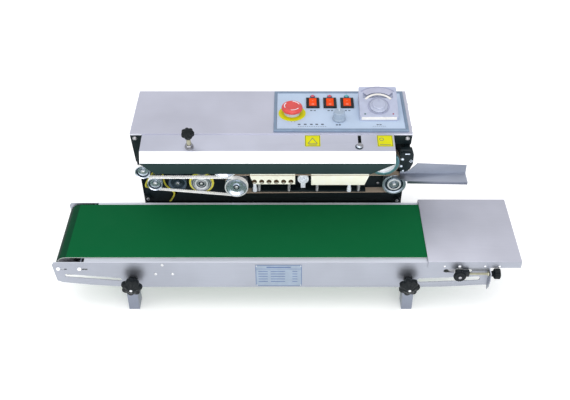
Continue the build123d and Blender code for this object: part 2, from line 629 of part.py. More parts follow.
def drive_gear(centre, phase, shaft_end):
    """A spur gear and the shaft that carries its drive wheel, turned as one piece."""
    gear_teeth(centre, phase, (60.5, 69.5))
    rod("Y", centre, 10.0, (58.0, 71.0))
    rod("Y", centre, SHAFT_R, (45.5, shaft_end))
    rod("Y", centre, SHAFT_R - 1, (42.0, 46.0))


MESH = math.atan2(UPPER_DRIVE[1] - LOWER_DRIVE[1], UPPER_DRIVE[0] - LOWER_DRIVE[0])
TOOTH_ANGLE = 2 * math.pi / GEAR_TEETH

with BuildPart() as lower_drive_wheel:
    drive_wheel(LOWER_DRIVE)
save(lower_drive_wheel, "lower_drive_wheel")

with BuildPart() as upper_drive_wheel:
    drive_wheel(UPPER_DRIVE)
save(upper_drive_wheel, "upper_drive_wheel")

with BuildPart() as lower_drive_gear:
    drive_gear(LOWER_DRIVE, MESH, 92.0)
save(lower_drive_gear, "lower_drive_gear")

with BuildPart() as upper_drive_gear:
    drive_gear(UPPER_DRIVE, MESH + math.pi + TOOTH_ANGLE / 2, 71.0)
save(upper_drive_gear, "upper_drive_gear")


def small_wheel(centre, radius, y, dish=2.5):
    """A pulley with a ringed face and its own shaft into the mechanism plate."""
    front, back = y
    turned("Y", centre, [(0, front + dish), (radius * 0.35, front + dish),
                         (radius * 0.4, front + 0.8), (radius * 0.62, front + 0.8),
                         (radius * 0.68, front + dish), (radius * 0.82, front + dish),
                         (radius * 0.88, front), (radius, front), (radius, back),
                         (8, back), (8, 45.5), (SHAFT_R, 45.5), (SHAFT_R, 58.5), (0, 58.5)])
    rod("Y", centre, 3.0, (front, front + dish + 1))


for label, centre, radius, y in (
        ("lower_guide_pulley", LOWER_GUIDE, GUIDE_PULLEY_R, (17.0, 27.0)),
        ("upper_guide_pulley", UPPER_GUIDE, GUIDE_PULLEY_R, (17.0, 27.0)),
        ("guide_idler", IDLER, IDLER_R, (27.0, 41.0)),
        ("lower_infeed_pulley", LOWER_INFEED, LOWER_INFEED_R, (26.5, 44.0)),
        ("upper_infeed_pulley", UPPER_INFEED, UPPER_INFEED_R, (26.5, 44.0)),
        ("lower_emboss_wheel", LOWER_EMBOSS, EMBOSS_R, (27.0, 41.0)),
        ("upper_emboss_wheel", UPPER_EMBOSS, EMBOSS_R, (27.0, 41.0))):
    with BuildPart() as wheel:
        small_wheel(centre, radius, y)
    save(wheel, label)

# ---------------------------------------------------------------- head: drive, fan, inlet
with BuildPart() as drive_gearmotor:
    block((-134.0, -62.0), (73.0, 128.0), (118.0, 180.0))
    rod("Y", LOWER_DRIVE, SHAFT_R + FIT, (70.0, 94.0), mode=Mode.SUBTRACT)
    turned("X", (98.0, 142.0), [(0, -62), (22, -62), (30, -56), (34, -50), (34, 40), (31, 44),
                                (31, 60), (26, 64), (0, 64)])
    for x in (-126.0, -82.0):
        block((x, x + 12), (78.0, 122.0), (FOOT_H + 2, 119.0))
save(drive_gearmotor, "drive_gearmotor")

FAN = (120.0, 120.0)
FAN_Y = (152.0, 177.0)
with BuildPart() as fan_housing:
    block((FAN[0] - 40, FAN[0] + 40), (FAN_Y[0], FAN_Y[1]), (FAN[1] - 40, FAN[1] + 40))
    rod("Y", FAN, 37.0, (145.0, 184.0), mode=Mode.SUBTRACT)
    block((FAN[0] - 38, FAN[0] + 38), (FAN_Y[0], FAN_Y[0] + 2), (FAN[1] - 2.5, FAN[1] + 2.5))
    block((FAN[0] - 2.5, FAN[0] + 2.5), (FAN_Y[0], FAN_Y[0] + 2), (FAN[1] - 38, FAN[1] + 38))
    rod("Y", FAN, 16.0, (FAN_Y[0], FAN_Y[0] + 2.5))
    rod("Y", FAN, 2.0, (FAN_Y[0] + 2, FAN_Y[0] + 20))
    for x in (-36.0, 26.0):
        block((FAN[0] + x, FAN[0] + x + 10), (FAN_Y[0] + 2, FAN_Y[1] - 3), (FOOT_H + 2, FAN[1] - 39.5))
save(fan_housing, "fan_housing")

with BuildPart() as fan_rotor:
    turned("Y", FAN, [(2.0 + FIT, FAN_Y[0] + 4), (16, FAN_Y[0] + 4), (16, FAN_Y[0] + 22),
                         (2.0 + FIT, FAN_Y[0] + 22)])
    for blade in range(7):
        angle = 360 / 7 * blade
        with Locations(Location((FAN[0], FAN_Y[0] + 13, FAN[1]), (0, angle, 0))):
            with Locations(Location((25, 0, 0), (35, 0, 0))):
                Box(19, 16, 1.6)
save(fan_rotor, "fan_rotor")

INLET = (-230.0, 62.0)
with BuildPart() as power_inlet:
    block((INLET[0] - 19, INLET[0] + 19), (BACK_SHEET, HEAD_BACK - 0.3), (50.0, 74.0))
    block((INLET[0] - 14, INLET[0] + 14), (158.0, BACK_SHEET), (51.5, 72.5))
    block((INLET[0] - 12, INLET[0] + 12), (166.0, HEAD_BACK + 1), (54.0, 70.0), mode=Mode.SUBTRACT)
    for dx, dz in ((-7, -2), (7, -2), (0, 3)):
        pin_x, pin_z = INLET[0] + dx, INLET[1] + dz
        block((pin_x - 1, pin_x + 1), (165.0, 179.0), (pin_z - 2, pin_z + 2))
save(power_inlet, "power_inlet")

# ---------------------------------------------------------------- conveyor
RAIL_OUTLINE = [(RAIL_X[0] + 4, RAIL_TOP), (RAIL_X[0], RAIL_TOP - 6), (RAIL_X[0] + 4, 78.0),
                (RAIL_X[0] + 14, 73.5), (-358.0, 67.0), (-305.0, 62.5), (-270.0, RAIL_BOTTOM),
                (215.0, RAIL_BOTTOM), (282.0, 61.8), (337.0, 65.7), (RAIL_X[1], 67.5),
                (RAIL_X[1], RAIL_TOP)]


SLOT_R = ((244.0, 78.2), (348.0, 83.6))


def rail_sheet(y, flange_y):
    """A side rail: a tall sheet with a folded top flange and slots through it."""
    prism_xz(RAIL_OUTLINE, y)
    block((-365.0, RAIL_X[1]), flange_y, (RAIL_TOP - PLATE, RAIL_TOP))
    cut = (y[0] - 3, y[1] + 3)
    slot_xz((-400.0, 90.8), (-305.0, 80.7), 7.0, cut)
    slot_xz((SLOT_R[0][0], SLOT_R[0][1]), (SLOT_R[1][0], SLOT_R[1][1]), 10.0, cut)
    slot_xz((288.5, ROLLER_Z), (332.0, ROLLER_Z), 8.4, cut)


FLANGE_SCREWS = ((-224.0, 117.0), (-238.0, 94.5), (-207.0, 94.5))
with BuildPart() as front_rail:
    rail_sheet((RAIL_Y[0], RAIL_Y[0] + PLATE), (RAIL_Y[0], -143.5))
    for x in (-413.0, -375.5):
        slot_xz((x, 106.3), (x + 14, 106.3), 3.6, (-160, -150))
    for x in CLAMP_X:
        rod("Y", (x, CLAMP_Z), 4.15, (-160, -150), mode=Mode.SUBTRACT)
    for place in FLANGE_SCREWS:
        rod("Y", place, 1.6, (-160, -150), mode=Mode.SUBTRACT)
    ear = [(RAIL_Y[0] + PLATE, 109.5), (-171, 109.5), (-172, 92), (-167, 73), (-160, 61),
           (RAIL_Y[0] + PLATE, 67.5)]
    prism_yz(ear, (RAIL_X[1] - PLATE, RAIL_X[1]))
    rod("X", CARRIAGE_ROD, TENSION_R + FIT, (360, 375), mode=Mode.SUBTRACT)
save(front_rail, "front_rail")

with BuildPart() as rear_rail:
    rail_sheet((RAIL_Y[1] - PLATE, RAIL_Y[1]), (5.5, RAIL_Y[1]))
    for x in CLAMP_X:
        rod("Y", (x, CLAMP_Z), 4.0, (6.8, RAIL_Y[1] - 1))
save(rear_rail, "rear_rail")

BED_Z = BELT_TOP - BELT_T - BELT_GAP
with BuildPart() as slider_bed:
    block((-373.0, 286.0), (-143.2, 5.2), (BED_Z - PLATE, BED_Z))
    for x in (-372.0, -252.0, -180.0, -100.0, 40.0, 180.0, 280.0):
        block((x, x + 2), (RAIL_Y[0] + PLATE, RAIL_Y[1] - PLATE), (BED_Z - 12, BED_Z - 1))
    half = ROLLER_R + 3
    block((DRIVE_ROLLER_X - half, DRIVE_ROLLER_X + half), (-149.0, 8.0), (100, 130),
          mode=Mode.SUBTRACT)
save(slider_bed, "slider_bed")

with BuildPart() as conveyor_belt:
    inside = ROLLER_R + BELT_GAP
    belt_loop((LEFT_ROLLER_X, ROLLER_Z), inside, (TAIL_ROLLER_X, ROLLER_Z), inside, BELT_T, BELT_Y)
save(conveyor_belt, "conveyor_belt")

with BuildPart() as end_table:
    block(TABLE_X, TABLE_Y, (TABLE_TOP - SHEET, TABLE_TOP))
    for y in (TABLE_Y[0], TABLE_Y[1] - SHEET):
        block(TABLE_X, (y, y + SHEET), (111, TABLE_TOP))
    block((TABLE_X[1] - SHEET, TABLE_X[1]), TABLE_Y, (111, TABLE_TOP))
    rod("Y", (384.0, 114.8), 2.2, (-160, -150), mode=Mode.SUBTRACT)
save(end_table, "end_table")

ROLLER_SHAFT_R = 5.0
with BuildPart() as roller_bearings:
    for y in ((RAIL_Y[0] + PLATE, -148.0), (6.0, RAIL_Y[1] - PLATE)):
        block((-419.0, -378.0), y, (96.0, 113.0))
        rod("Y", (DRIVE_ROLLER_X, ROLLER_Z), 13.0, y)
    for x in (LEFT_ROLLER_X, DRIVE_ROLLER_X):
        rod("Y", (x, ROLLER_Z), ROLLER_SHAFT_R + FIT, (-160.0, 20.0), mode=Mode.SUBTRACT)
    for x, z in FLANGE_SCREWS:
        rod("Y", (x, z), 1.5, (RAIL_Y[0], RAIL_Y[0] + PLATE))
        turned("Y", (x, z), [(0, RAIL_Y[0]), (3.0, RAIL_Y[0]), (2.4, -156.2), (0, -156.6)])
save(roller_bearings, "roller_bearings")


def roller(x, shaft):
    """A conveyor roller with a slight crown and a fixed shaft."""
    turned("Y", (x, ROLLER_Z), [(0, -141.5), (ROLLER_R - 0.4, -141.5), (ROLLER_R, -120),
                                (ROLLER_R, -22), (ROLLER_R - 0.4, 3.5), (0, 3.5)])
    rod("Y", (x, ROLLER_Z), ROLLER_SHAFT_R, shaft)


with BuildPart() as left_roller:
    roller(LEFT_ROLLER_X, (-152.5, 10.0))
save(left_roller, "left_roller")

with BuildPart() as drive_roller:
    roller(DRIVE_ROLLER_X, (-152.5, 10.0))
save(drive_roller, "drive_roller")

AXLE_R = 4.0
with BuildPart() as tail_roller:
    roller(TAIL_ROLLER_X, (-147.0, 5.0))
    rod("Y", (TAIL_ROLLER_X, ROLLER_Z), AXLE_R + FIT, (-150, 10), mode=Mode.SUBTRACT)
save(tail_roller, "tail_roller")

with BuildPart() as tail_carriage:
    rod("Y", (TAIL_ROLLER_X, ROLLER_Z), AXLE_R, (-173.0, 16.5))
    block((TAIL_ROLLER_X - 7, TAIL_ROLLER_X + 18), (-164.2, -156.8), (96.4, 107.9))
    block((TAIL_ROLLER_X - 7, TAIL_ROLLER_X + 7), (12.8, 15.6), (96.0, 109.0))
    rod("X", CARRIAGE_ROD, TENSION_R + FIT, (TAIL_ROLLER_X + 5, TAIL_ROLLER_X + 20),
        mode=Mode.SUBTRACT)
save(tail_carriage, "tail_carriage")

with BuildPart() as clamp_knob:
    turned("Y", (TAIL_ROLLER_X, ROLLER_Z), [(AXLE_R + FIT, -172.2), (9, -172.2), (11, -171),
                                            (11.5, -167), (10, -164.8), (AXLE_R + FIT, -164.5)])
save(clamp_knob, "clamp_knob")

with BuildPart() as tension_screw:
    rod("X", CARRIAGE_ROD, TENSION_R, (TAIL_ROLLER_X + 8.5, 372))
    turned("X", CARRIAGE_ROD, [(0, 370), (5, 370), (5.5, 373.5), (9, 375), (10, 377),
                               (10, 384.5), (8.5, 386), (0, 386)])
    rod("X", CARRIAGE_ROD, 4.4, (363.5, 366.0))
save(tension_screw, "tension_screw")

for label, x in (("left_leg_knob", CLAMP_X[0]), ("right_leg_knob", CLAMP_X[1])):
    with BuildPart() as leg_knob:
        rod("Y", (x, CLAMP_Z), 4.0, (-170.0, -143.0))
        turned("Y", (x, CLAMP_Z), [(0, -156), (9, -156), (9, -160), (13, -167), (13, -171),
                                   (0, -171)])
        star = Plane(origin=(x, -169.0, CLAMP_Z), x_dir=(1, 0, 0), z_dir=(0, -1, 0))
        lobed(star, 15.0, 5.4, 14.8, 7, 10.0)
        turned("Y", (x, CLAMP_Z), [(0, KNOB_FRONT), (4.5, KNOB_FRONT), (7, -182.5), (11, -179),
                                   (0, -177)])
    save(leg_knob, label)
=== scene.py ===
"""Looks of the table-top continuous band sealer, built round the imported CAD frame.

Helper inputs are millimetres in the CAD frame; meshes are written in metres.
"""
import json
import math

import bmesh
import bpy
from mathutils import Matrix, Vector


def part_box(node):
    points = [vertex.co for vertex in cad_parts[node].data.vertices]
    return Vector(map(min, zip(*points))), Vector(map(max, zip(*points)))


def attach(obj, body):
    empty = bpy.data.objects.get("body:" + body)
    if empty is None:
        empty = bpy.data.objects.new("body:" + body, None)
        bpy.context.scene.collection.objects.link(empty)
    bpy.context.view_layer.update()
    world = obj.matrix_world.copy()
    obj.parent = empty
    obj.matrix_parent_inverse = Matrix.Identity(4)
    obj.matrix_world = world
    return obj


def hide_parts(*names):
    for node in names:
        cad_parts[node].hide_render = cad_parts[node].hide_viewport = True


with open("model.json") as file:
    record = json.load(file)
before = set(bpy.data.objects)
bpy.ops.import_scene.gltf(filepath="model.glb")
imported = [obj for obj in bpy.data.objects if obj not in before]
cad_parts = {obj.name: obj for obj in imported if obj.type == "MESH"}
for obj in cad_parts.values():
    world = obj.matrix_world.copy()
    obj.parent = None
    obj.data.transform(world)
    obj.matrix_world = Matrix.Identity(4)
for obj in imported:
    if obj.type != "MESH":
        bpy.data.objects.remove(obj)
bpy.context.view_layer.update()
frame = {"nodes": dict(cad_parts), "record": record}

MM = 0.001
SCENE = bpy.context.scene


def corners(node):
    """Lowest and highest corner of a CAD node, in millimetres."""
    low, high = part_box(node)
    return low / MM, high / MM


def middle(node):
    """Centre of a CAD node's box, in millimetres."""
    low, high = corners(node)
    return (low + high) / 2


# ---------------------------------------------------------------- camera, floor and light
CAMERA_PLACE = (0.008, -1.281, 1.215)
CAMERA_PITCH = 40.0                 # degrees below level
CAMERA_LENS = 55.0
CAMERA_SHIFT = -0.0105

camera_data = bpy.data.cameras.new("camera")
camera_data.lens = CAMERA_LENS
camera_data.shift_x = CAMERA_SHIFT
camera = bpy.data.objects.new("camera", camera_data)
camera.location = CAMERA_PLACE
camera.rotation_euler = (math.radians(90 - CAMERA_PITCH), 0, 0)
SCENE.collection.objects.link(camera)
SCENE.camera = camera
SCENE.view_settings.view_transform = "Standard"


def softbox(name, place, target, size, power, colour=(1, 1, 1)):
    """A rectangular studio light that looks at a target; places in metres."""
    data = bpy.data.lights.new(name, "AREA")
    data.shape = "RECTANGLE"
    data.size, data.size_y = size
    data.energy = power
    data.color = colour
    light = bpy.data.objects.new(name, data)
    light.location = place
    direction = Vector(target) - Vector(place)
    light.rotation_euler = direction.to_track_quat("-Z", "Y").to_euler()
    SCENE.collection.objects.link(light)


softbox("light_top", (-0.2, -0.45, 2.3), (0, 0, 0.1), (2.6, 1.8), 18, (1.0, 0.99, 0.97))
softbox("light_front", (0.3, -2.0, 0.75), (0, 0, 0.15), (2.4, 1.0), 24)
softbox("light_left", (-1.9, -0.7, 0.9), (-0.1, 0, 0.1), (1.2, 1.2), 3)

world = bpy.data.worlds.new("studio")
SCENE.world = world
world.use_nodes = True
backdrop = world.node_tree.nodes["Background"]
backdrop.inputs["Color"].default_value = (0.96, 0.97, 1.0, 1)
backdrop.inputs["Strength"].default_value = 0.8


# ---------------------------------------------------------------- materials
TEXTURE_MIDDLE = (0.3, 0.7)         # the part of a texture's range that most of it lies in
SHEET_GRAIN = (60, 1, 1)            # brush lines run along X


def srgb(red, green, blue):
    """A colour from 0 to 255 screen values, as linear values."""
    return tuple((value / 255 / 12.92) if value < 11 else ((value / 255 + 0.055) / 1.055) ** 2.4
                 for value in (red, green, blue))


class Look:
    """A procedural material: a principled shader fed by textures in the object's own space."""

    def __init__(self, name, slot, colour, roughness, metallic=0.0, **sockets):
        self.slot = slot
        self.material = bpy.data.materials.new(name)
        self.material.use_nodes = True
        self.tree = self.material.node_tree
        self.shader = self.tree.nodes["Principled BSDF"]
        self.colour = srgb(*colour)
        self.set("Base Color", (*self.colour, 1))
        self.set("Roughness", roughness)
        self.set("Metallic", metallic)
        for socket, value in sockets.items():
            self.set(socket.replace("_", " "), value)

    def set(self, socket, value):
        self.shader.inputs[socket].default_value = value

    def node(self, kind, **values):
        made = self.tree.nodes.new(kind)
        for socket, value in values.items():
            made.inputs[socket.replace("_", " ")].default_value = value
        return made

    def place(self, stretch):
        """Object coordinates, squeezed along each axis by its stretch."""
        coordinates = self.tree.nodes.new("ShaderNodeTexCoord")
        mapping = self.node("ShaderNodeMapping", Scale=tuple(1 / value for value in stretch))
        self.tree.links.new(coordinates.outputs["Object"], mapping.inputs["Vector"])
        return mapping.outputs["Vector"]

    def noise(self, size, stretch=(1, 1, 1), detail=3.0):
        """Noise whose blotches are about `size` millimetres, longer along a stretched axis."""
        texture = self.node("ShaderNodeTexNoise", Scale=1 / (size * MM), Detail=detail)
        self.tree.links.new(self.place(stretch), texture.inputs["Vector"])
        return texture.outputs["Fac"]

    def waves(self, size, direction, stretch=(1, 1, 1)):
        """Even ridges `size` millimetres apart along X, Y or Z."""
        texture = self.node("ShaderNodeTexWave", Scale=math.pi / 10 / (size * MM))
        texture.bands_direction = direction
        self.tree.links.new(self.place(stretch), texture.inputs["Vector"])
        return texture.outputs["Fac"]

    def cells(self, size):
        """Small round cells about `size` millimetres wide."""
        texture = self.node("ShaderNodeTexVoronoi", Scale=1 / (size * MM))
        self.tree.links.new(self.place((1, 1, 1)), texture.inputs["Vector"])
        return texture.outputs["Distance"]

    def combine(self, first, second):
        """One texture times another."""
        made = self.tree.nodes.new("ShaderNodeMath")
        made.operation = "MULTIPLY"
        self.tree.links.new(first, made.inputs[0])
        self.tree.links.new(second, made.inputs[1])
        return made.outputs[0]

    def shade(self, factor, low, high):
        """Vary the colour's brightness between low and high times its own."""
        ramp = self.tree.nodes.new("ShaderNodeValToRGB")
        for element, position, share in zip(ramp.color_ramp.elements, TEXTURE_MIDDLE, (low, high)):
            element.position = position
            element.color = (*(min(1.0, value * share) for value in self.colour), 1)
        self.tree.links.new(factor, ramp.inputs["Fac"])
        self.tree.links.new(ramp.outputs["Color"], self.shader.inputs["Base Color"])

    def roughen(self, factor, low, high):
        """Vary the roughness between low and high."""
        made = self.node("ShaderNodeMapRange", From_Min=TEXTURE_MIDDLE[0], From_Max=TEXTURE_MIDDLE[1],
                         To_Min=low, To_Max=high)
        self.tree.links.new(factor, made.inputs["Value"])
        self.tree.links.new(made.outputs["Result"], self.shader.inputs["Roughness"])

    def bump(self, factor, depth, strength=1.0):
        """Raise the surface by up to `depth` millimetres; a second call adds to the first."""
        made = self.node("ShaderNodeBump", Strength=strength, Distance=depth * MM)
        self.tree.links.new(factor, made.inputs["Height"])
        normal = self.shader.inputs["Normal"]
        if normal.is_linked:
            self.tree.links.new(normal.links[0].from_socket, made.inputs["Normal"])
        self.tree.links.new(made.outputs["Normal"], normal)


def brushed(name, colour, roughness, slot="stainless", along=SHEET_GRAIN):
    """Sheet steel with fine brush lines, faint blotches and an uneven shine."""
    look = Look(name, slot, colour, roughness, metallic=1.0)
    look.shade(look.noise(90, detail=2), 0.93, 1.04)
    look.roughen(look.noise(0.7, along), roughness - 0.05, roughness + 0.08)
    look.bump(look.noise(0.35, along, detail=4), 0.012, 0.5)
    return look


def pale_sheet(name, colour, roughness, metallic, depth):
    """Sheet steel painted pale all over to stand for the light it catches, with fine brush lines."""
    look = Look(name, "stainless", colour, roughness, metallic=metallic)
    look.bump(look.noise(0.35, SHEET_GRAIN), depth, 0.4)
    return look


def woven(name, slot, colour, roughness, size, axes, shades, depth, strength):
    """Cloth with threads `size` millimetres apart that cross along two axes."""
    look = Look(name, slot, colour, roughness)
    weave = look.combine(look.waves(size, axes[0]), look.waves(size, axes[1]))
    look.shade(weave, *shades)
    look.bump(weave, depth, strength)
    return look


def moulded(name, slot, colour, roughness, grain=0.5, depth=0.02, **sockets):
    """Moulded plastic or rubber with a fine grain and slightly uneven shine."""
    look = Look(name, slot, colour, roughness, **sockets)
    look.shade(look.noise(14), 0.93, 1.06)
    look.roughen(look.noise(4), roughness - 0.06, roughness + 0.06)
    look.bump(look.noise(grain, detail=2), depth, 0.5)
    return look


def turned_metal(name, slot, colour, roughness, metallic=1.0):
    """Plated or machined metal with faint smears and tool marks."""
    look = Look(name, slot, colour, roughness, metallic=metallic)
    look.shade(look.noise(9), 0.9, 1.05)
    look.roughen(look.noise(2.5), roughness - 0.03, roughness + 0.08)
    look.bump(look.noise(0.25, (1, 8, 1)), 0.006, 0.4)
    return look


def painted(name, slot, colour, roughness=0.42):
    """Powder-coated steel: fine orange peel and faint dust."""
    look = Look(name, slot, colour, roughness, Specular_IOR_Level=0.25)
    look.shade(look.noise(60), 0.9, 1.12)
    look.roughen(look.noise(5), roughness - 0.05, roughness + 0.1)
    look.bump(look.noise(1.1, detail=2), 0.03, 0.5)
    return look


STEEL = brushed("brushed_stainless", (212, 213, 226), 0.42)
GUARD_STEEL = brushed("guard_stainless", (206, 208, 221), 0.46)
# The rails' and end table's upright faces take this darker copy of the stainless, painted as shade; their
# upper faces take lighter copies, painted as highlight.
RAIL_STEEL = brushed("rail_stainless", (164, 168, 178), 0.42)
# The guard's faces that look down or back: dark green-grey painted in as the shade and belt reflection they
# show.
GUARD_SHADE = Look("guard_inner_painted_shade", "stainless", (37, 54, 55), 0.6, Specular_IOR_Level=0.25)
GUARD_SHADE.shade(GUARD_SHADE.noise(60), 0.92, 1.08)
GUARD_SHADE.bump(GUARD_SHADE.noise(0.4, SHEET_GRAIN), 0.01, 0.5)
# The guard's folded lip: near-white painted in as the highlight the front light makes on it.
LIP_HIGHLIGHT = pale_sheet("guard_lip_painted_highlight", (253, 253, 255), 0.34, 0.3, 0.008)
# Lighter copies of the stainless for the table's, rails' and tray's upper faces, painted as highlight; the
# tray's upright faces take a darker copy, painted as shade.
TABLE_STEEL = brushed("table_stainless", (208, 209, 220), 0.52)
FLANGE_HIGHLIGHT = pale_sheet("rail_flange_painted_highlight", (206, 210, 220), 0.5, 0.35, 0.01)
TRAY_TOP = brushed("tray_top_stainless", (176, 182, 196), 0.46)
TRAY_STEEL = brushed("tray_stainless", (132, 138, 150), 0.46)
ARM_STEEL = brushed("arm_steel", (142, 148, 162), 0.34, "mirror_steel", (1, 1, 60))
BLACK_PAINT = painted("black_paint", "black_paint", (16, 28, 32), 0.5)
GREY_PAINT = painted("grey_paint", "grey_paint", (120, 124, 128))
CHROME = turned_metal("chrome_plate", "chrome", (206, 216, 230), 0.24, metallic=0.78)
# A dark copy of the plating, painted in as shade and dark reflection on the wheels' rings.
SHADED = turned_metal("shaded_plate", "chrome", (52, 66, 76), 0.3, metallic=0.75)
EMBOSS_STEEL = turned_metal("emboss_wheel_plate", "chrome", (208, 210, 216), 0.3, metallic=0.7)
INFEED_STEEL = turned_metal("infeed_wheel_plate", "chrome", (176, 188, 200), 0.28, metallic=0.75)
IDLER_STEEL = turned_metal("idler_black_oxide", "black_plastic", (96, 112, 126), 0.34, metallic=0.5)
ZINC = turned_metal("zinc_plate", "chrome", (210, 212, 214), 0.3, metallic=0.7)
# A pale plate painted in as highlight: the wheels' bright rings and the rail screws' domes.
HIGHLIGHT_STEEL = turned_metal("painted_highlight_plate", "chrome", (236, 238, 242), 0.34, metallic=0.35)
MACHINED = turned_metal("machined_steel", "steel", (168, 168, 172), 0.3)
BRASS = turned_metal("brass", "steel", (172, 170, 148), 0.4, metallic=0.5)
BLACK = moulded("black_plastic", "black_plastic", (17, 24, 28), 0.4, Specular_IOR_Level=0.25)
KNOB_BLACK = moulded("knob_black", "black_plastic", (7, 15, 19), 0.36, grain=0.8,
                     Specular_IOR_Level=0.2)
BEZEL = moulded("bezel_plastic", "bezel", (114, 133, 156), 0.4)
# The cream emission is painted light: it lifts the blocks, which sit in the guard's shade.
CREAM = moulded("cream_coating", "cream", (255, 254, 234), 0.55, grain=0.9, depth=0.03,
               Emission_Strength=0.06, Emission_Color=(1.0, 1.0, 0.86, 1))
# Dark brown for the insides of the cooling blocks' holes and a disc a little way into each.
HOLE_BROWN = moulded("hole_lining", "cream", (74, 56, 30), 0.8)
RED = moulded("stop_red", "red", (206, 64, 60), 0.32, Coat_Weight=0.2)
YELLOW = moulded("signal_yellow", "yellow", (206, 204, 2), 0.5, Specular_IOR_Level=0.2)
ORANGE = moulded("rocker_orange", "orange", (222, 66, 2), 0.4, Specular_IOR_Level=0.2, Emission_Strength=0.06,
                 Emission_Color=(1.0, 0.14, 0.01, 1))
WHITE = moulded("white_plastic", "white_plastic", (226, 232, 240), 0.4)
SWITCH_MARK = moulded("switch_mark", "orange", (244, 158, 132), 0.4)
PRINT = moulded("dark_print", "black_plastic", (74, 82, 98), 0.5)
BLUE_PRINT = moulded("blue_print", "bezel", (66, 90, 132), 0.5)
GREY_PLASTIC = moulded("grey_collar", "white_plastic", (186, 190, 196), 0.4)
RUBBER = moulded("foot_rubber", "rubber", (24, 24, 25), 0.72, grain=0.8, depth=0.05)
LILAC = moulded("lilac_housing", "clear_grey", (170, 176, 197), 0.36, Coat_Weight=0.1)
DIAL = moulded("dial_lilac", "clear_grey", (166, 172, 192), 0.22, Coat_Weight=0.3)
WINDOW = moulded("window_print", "clear_grey", (168, 170, 190), 0.2, Coat_Weight=0.5)
LILAC_SHADE = moulded("lilac_shade", "clear_grey", (150, 154, 180), 0.3)
# White for the strip along the thermostat's front edge, and as a painted highlight on its arched lip.
WHITE_STRIP_AND_HIGHLIGHT = moulded("white_strip_and_painted_highlight", "white_plastic", (226, 223, 218), 0.3)
LABEL_EDGE = moulded("label_edge", "yellow", (96, 98, 8), 0.5)
PLATE_SILVER = moulded("plate_silver", "white_plastic", (132, 146, 162), 0.4)
SMOKE = Look("smoked_clear", "clear_grey", (166, 182, 200), 0.34, Transmission_Weight=0.2, IOR=1.45)
SMOKE.roughen(SMOKE.noise(3), 0.3, 0.4)
SMOKE.bump(SMOKE.noise(2.0), 0.02, 0.4)
GLASS = Look("window_clear", "clear_grey", (236, 240, 250), 0.05, Transmission_Weight=0.95, IOR=1.45)
GLASS.roughen(GLASS.noise(6), 0.03, 0.09)
LAMP_RED = moulded("lamp_red", "lamp", (196, 78, 104), 0.2, Coat_Weight=0.5)
LED_GREEN = moulded("led_green", "lamp", (36, 92, 84), 0.3)
LED_RED = moulded("led_red", "lamp", (150, 46, 66), 0.3)
LAMP_TEAL = moulded("lamp_teal", "lamp", (76, 172, 178), 0.2, Coat_Weight=0.5)
FACE = Look("panel_film", "face", (180, 197, 219), 0.5)
FACE.shade(FACE.noise(40), 0.97, 1.03)
FACE.roughen(FACE.noise(8), 0.46, 0.58)
FACE.bump(FACE.cells(0.6), 0.01, 0.4)

# The emission is painted light: it lifts the belt's green as if it were lit more.
BELT_GREEN = Look("green_belt_cover", "green_belt", (6, 80, 43), 0.82, Specular_IOR_Level=0.06,
                  Emission_Strength=0.25, Emission_Color=(*srgb(16, 94, 56), 1))
BELT_GREEN.shade(BELT_GREEN.noise(160, (2, 1, 1), detail=2), 0.95, 1.05)
BELT_GREEN.roughen(BELT_GREEN.noise(30), 0.76, 0.88)
BELT_GREEN.bump(BELT_GREEN.noise(0.5), 0.03, 0.5)
# Darker greens for the belt where it bends over the left roller: painted shade on the same cover.
BELT_TURN_SHADE = moulded("belt_painted_shade_round_roller", "green_belt", (20, 52, 40), 0.6, Specular_IOR_Level=0.1)
BELT_BEND_SHADE = moulded("belt_painted_shade_entering_bend", "green_belt", (9, 64, 40), 0.7, Specular_IOR_Level=0.08)
BELT_PLY = woven("belt_fabric_ply", "green_belt", (228, 238, 230), 0.85, 0.8, "XY", (0.8, 1.05), 0.15, 0.7)
# The white emission is painted light: it lifts the toothed belts, which sit in the guard's shade.
BELT_WHITE = moulded("toothed_belt_rubber", "white_belt", (248, 248, 246), 0.55, grain=0.7,
                     Emission_Strength=0.22, Emission_Color=(1, 1, 1, 1))
# Plating tinted teal for the upper infeed pulley: painted reflection on its chrome.
TEAL_REFLECTION = turned_metal("teal_painted_reflection_plate", "chrome", (146, 190, 208), 0.3)
BAND = woven("glass_cloth_band", "seal_band", (206, 188, 168), 0.42, 0.9, "XY", (0.82, 1.1), 0.06, 0.6)
SLEEVE = woven("lead_sleeve", "lead_sleeve", (222, 214, 66), 0.7, 0.8, "ZX", (0.7, 1.1), 0.12, 0.8)
SILICONE = moulded("emboss_ring_rubber", "emboss", (214, 206, 78), 0.45)

FLOOR = Look("floor", "white_plastic", (248, 248, 248), 0.9, Emission_Strength=0.3,
             Emission_Color=(1, 1, 1, 1))
FLOOR.shade(FLOOR.noise(400), 0.995, 1.0)


# ---------------------------------------------------------------- mesh helpers
def frame_at(origin, normal):
    """A matrix with its origin at a point in millimetres and its Z along a normal."""
    up = Vector(normal).normalized()
    side = Vector((1, 0, 0))
    if abs(side.dot(up)) > 0.99:
        side = Vector((0, 1, 0))
    forward = up.cross(side).normalized()
    side = forward.cross(up)
    matrix = Matrix((side, forward, up)).transposed().to_4x4()
    matrix.translation = Vector(origin)
    return matrix


def along_y(x, z):
    """A frame whose Z runs along +Y, so heights in it are Y values."""
    return frame_at((x, 0, z), (0, 1, 0))


def towards_front(x, z, y):
    """A frame whose Z points at the front of the machine."""
    return frame_at((x, y, z), (0, -1, 0))


def flat(x, y, z):
    """A frame that lies level at a height."""
    return Matrix.Translation((x, y, z))


def shifted(base, x=0.0, y=0.0, z=0.0):
    """A frame moved within itself."""
    return base @ Matrix.Translation((x, y, z))


